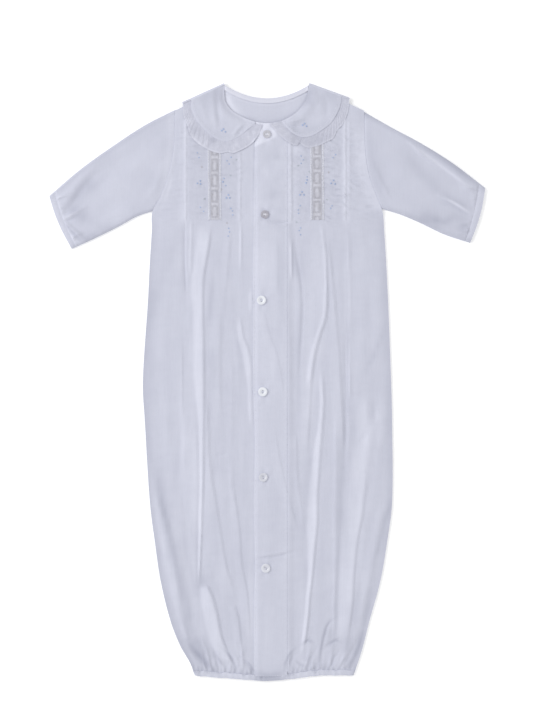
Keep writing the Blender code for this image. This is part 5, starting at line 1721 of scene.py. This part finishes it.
def makeNeedlework(trees):
    knot = modelKnot(threads["blueThread"])
    leaf = modelLeaf(threads["greenThread"])
    tanLeaf = modelLeaf(threads["tanThread"])
    for patch, places in knotPlaces.items():
        copies = []
        for n, (across, down) in enumerate(places):
            strong = 1.0 if 105 < down < 116 or 96 <= down <= 100.5 or "collar" in patch else 0.78
            level = topOf(trees, across, down) - 0.05
            copies.append(copyTo(knot, f"{patch}Knot{n}", across, down, level, n * 1.3, strong))
        finishPiece(joinCopies(copies, patch + "Knots"))
    copies = []
    for n, (across, down) in enumerate(leafPlaces):
        model = tanLeaf if n % 3 == 0 else leaf
        copies.append(copyTo(model, f"leafStitch{n}", across, down, topOf(trees, across, down), n * 2.1))
    finishPiece(joinCopies(copies, "leafStitches"))
    for model in (knot, leaf, tanLeaf):
        bpy.data.objects.remove(model, do_unlink=True)


def addThread(verts, faces, line, side, wide, flatness=1.0):
    # a six-sided thread along a line of (across, down, height), side pointing across it at each point
    base = len(verts)
    for (a, d, h), (sideA, sideD), w in zip(line, side, wide):
        for corner in range(6):
            turn = corner * math.pi / 3
            out, up = w * math.cos(turn), flatness * w * math.sin(turn)
            verts.append((a + sideA * out, d + sideD * out, h + up))
    last = base + (len(line) - 1) * 6
    for ring in range(base, last, 6):
        for corner in range(6):
            after = (corner + 1) % 6
            faces.append((ring + corner, ring + after, ring + 6 + after, ring + 6 + corner))
    faces.append(tuple(base + c for c in range(5, -1, -1)))
    faces.append(tuple(last + c for c in range(6)))


def threadPiece(name, verts, faces):
    mesh = bpy.data.meshes.new(name)
    mesh.from_pydata(toWorld(*np.array(verts).T).tolist(), [], faces)
    mesh.polygons.foreach_set("use_smooth", [True] * len(mesh.polygons))
    mesh.materials.append(threads["whiteThread"])
    piece = bpy.data.objects.new(name, mesh)
    bpy.context.scene.collection.objects.link(piece)
    selectOnly(piece)
    bpy.ops.object.mode_set(mode="EDIT")
    bpy.ops.mesh.select_all(action="SELECT")
    bpy.ops.mesh.normals_make_consistent(inside=False)
    bpy.ops.object.mode_set(mode="OBJECT")
    return finishPiece(piece)


stitchLook = {
    "long": 1.8, "gap": 0.6, "wide": 0.26, "lift": -0.02,
    "shape": ((0.0, 0.45, -0.05), (0.3, 1.0, 0.12), (0.7, 1.0, 0.12), (1.0, 0.45, -0.05)),  # along, width, rise
}


def stitchLine(name, path, trees):
    # a row of straight stitches laid on whatever cloth is highest along a path of (across, down)
    look = stitchLook
    path = np.array(path, float)
    run = np.concatenate([[0], np.linalg.norm(np.diff(path, axis=0), axis=1).cumsum()])
    step = look["long"] + look["gap"]
    verts, faces = [], []
    for n in range(int(run[-1] // step)):
        ends = n * step, n * step + look["long"]
        (a0, a1), (d0, d1) = np.interp(ends, run, path[:, 0]), np.interp(ends, run, path[:, 1])
        length = math.hypot(a1 - a0, d1 - d0)
        side = ((d1 - d0) / length, -(a1 - a0) / length)
        level = max(topOf(trees, mix(a0, a1, t), mix(d0, d1, t)) for t in (0.1, 0.5, 0.9)) + look["lift"]
        line = [(mix(a0, a1, t), mix(d0, d1, t), level + rise) for t, _, rise in look["shape"]]
        addThread(verts, faces, line, [side] * 4, [look["wide"] / 2 * w for _, w, _ in look["shape"]], 0.8)
    return threadPiece(name, verts, faces)


def makeStitching(trees):
    bandLeft = frontLook["bandLeft"] + bandLook["stitchIn"]
    bandRight = frontLook["bandRight"] - bandLook["stitchIn"]
    for name, across, foot in (("bandStitchLeft", bandLeft, 588), ("bandStitchRight", bandRight, 132)):
        downs = np.linspace(float(frontNeck(across)) + 2, foot, 60)
        shift = bandWander(downs) * (across < 0)
        stitchLine(name, np.stack([across + shift, downs], axis=-1), trees)
    for side in ("left", "right"):
        _, neck, cloth, _ = petalEdges(side, 80)
        inward = (neck - cloth) / np.maximum(1, np.linalg.norm(neck - cloth, axis=1))[:, None]
        stitchLine(side + "CollarStitch", (cloth + 3.4 * inward)[8:-1], trees)
    across = np.linspace(-70, 85, 60)
    stitchLine("casingStitch", np.stack([across, hemLine(across) - body["casingWide"] + 0.9], axis=-1), trees)


ladderLook = {
    "cord": 0.32, "apart": 0.95, "rung": 2.3, "rungCord": 0.28, "step": 0.75, "top": 60, "foot": 137,
    "places": {
        "ladderOuterLeft": -56.6, "ladderInnerLeft": -45.2, "ladderInnerRight": 45.6, "ladderOuterRight": 57.6,
    },
}


def makeLadder(name, across, trees):
    # the narrow ladder seam beside the lace: two cords with rungs between them
    look = ladderLook
    verts, faces = [], []

    def tube(line, radius):
        side = []
        for n in range(len(line)):
            ahead, behind = line[min(n + 1, len(line) - 1)], line[max(n - 1, 0)]
            alongA, alongD = ahead[0] - behind[0], ahead[1] - behind[1]
            length = math.hypot(alongA, alongD)
            side.append((alongD / length, -alongA / length))
        addThread(verts, faces, line, side, [radius] * len(line))

    half = look["apart"] / 2
    for sign in (-1, 1):
        line = []
        for d in np.arange(look["top"], look["foot"], look["step"]):
            a = across + sign * half + laceWander(d)
            line.append((a, d, topOf(trees, a, d) + 0.18))
        tube(line, look["cord"])
    for d in np.arange(look["top"] + 1, look["foot"] - 1, look["rung"]):
        a = across + laceWander(d)
        h = topOf(trees, a, d) + 0.22
        tube([(a - half, d, h), (a, d + 0.01, h + 0.05), (a + half, d, h)], look["rungCord"])
    return threadPiece(name, verts, faces)


# build it all

makeBack()
makeBinding()
print("back and binding made")
leftPiece = makeFrontLeft()
rightPiece = makeFrontRight()
bandPiece = makeBand()
print("fronts and placket made")
for sleeveSide in ("left", "right"):
    sleeveStop = makeSleeve(sleeveSide)
    makeCuff(sleeveSide, sleeveStop)
casingPiece = makeCasing()
print("sleeves, cuffs and casing made")
collarPiece = makeCollar()
makeFrill()
for laceSide in ("left", "right"):
    makeInsertion(laceSide)
print("collar, frill and lace made")
makeButtons()
clothTrees = treeOf(leftPiece, rightPiece, bandPiece, collarPiece, casingPiece)
makeNeedlework(clothTrees)
makeStitching(clothTrees)
frontTrees = treeOf(leftPiece, rightPiece)
for ladderName, ladderAcross in ladderLook["places"].items():
    makeLadder(ladderName, ladderAcross, frontTrees)
print("buttons and needlework made")


# floor, light and camera

sceneLook = {
    "floorColour": (0.95, 0.95, 0.95), "floorGlow": 0.22, "skyStrength": 0.79,
    "keyPower": 37.0, "keyPlace": (-2.3, 0.7, 2.1), "keySize": 1.9,
    "cameraHigh": 3000.0, "frameHigh": 703.0, "middleAcross": 1.0, "middleDown": 267.5,  # in mm
}


def makeFloor():
    bpy.ops.object.select_all(action="DESELECT")
    bpy.ops.mesh.primitive_plane_add(size=14, location=(0, 0, -0.0003))
    floor = bpy.context.active_object
    floor.name = "studioFloor"
    glow = {"Emission_Color": (1, 1, 1, 1), "Emission_Strength": sceneLook["floorGlow"]}
    floor.data.materials.append(newFinish("paleFloor", sceneLook["floorColour"], 0.9, **glow)[0])


def makeLight():
    world = bpy.data.worlds.new("studioSky")
    bpy.context.scene.world = world
    world.use_nodes = True
    sky = world.node_tree.nodes["Background"]
    sky.inputs["Color"].default_value = (1.0, 1.0, 1.0, 1)
    sky.inputs["Strength"].default_value = sceneLook["skyStrength"]
    lamp = bpy.data.lights.new("key", "AREA")
    lamp.shape = "DISK"
    lamp.size = sceneLook["keySize"]
    lamp.energy = sceneLook["keyPower"]
    key = bpy.data.objects.new("key", lamp)
    key.location = sceneLook["keyPlace"]
    key.rotation_euler = (-Vector(sceneLook["keyPlace"])).to_track_quat("-Z", "Y").to_euler()
    bpy.context.scene.collection.objects.link(key)


def makeCamera():
    look = sceneLook
    data = bpy.data.cameras.new("camera")
    data.sensor_width = 36
    data.lens = data.sensor_width * look["cameraHigh"] / look["frameHigh"]
    data.clip_end = 50
    camera = bpy.data.objects.new("camera", data)
    camera.location = toWorld(look["middleAcross"], look["middleDown"], look["cameraHigh"]).tolist()
    bpy.context.scene.collection.objects.link(camera)
    bpy.context.scene.camera = camera
    bpy.context.scene.view_settings.view_transform = "Standard"


makeFloor()
makeLight()
makeCamera()
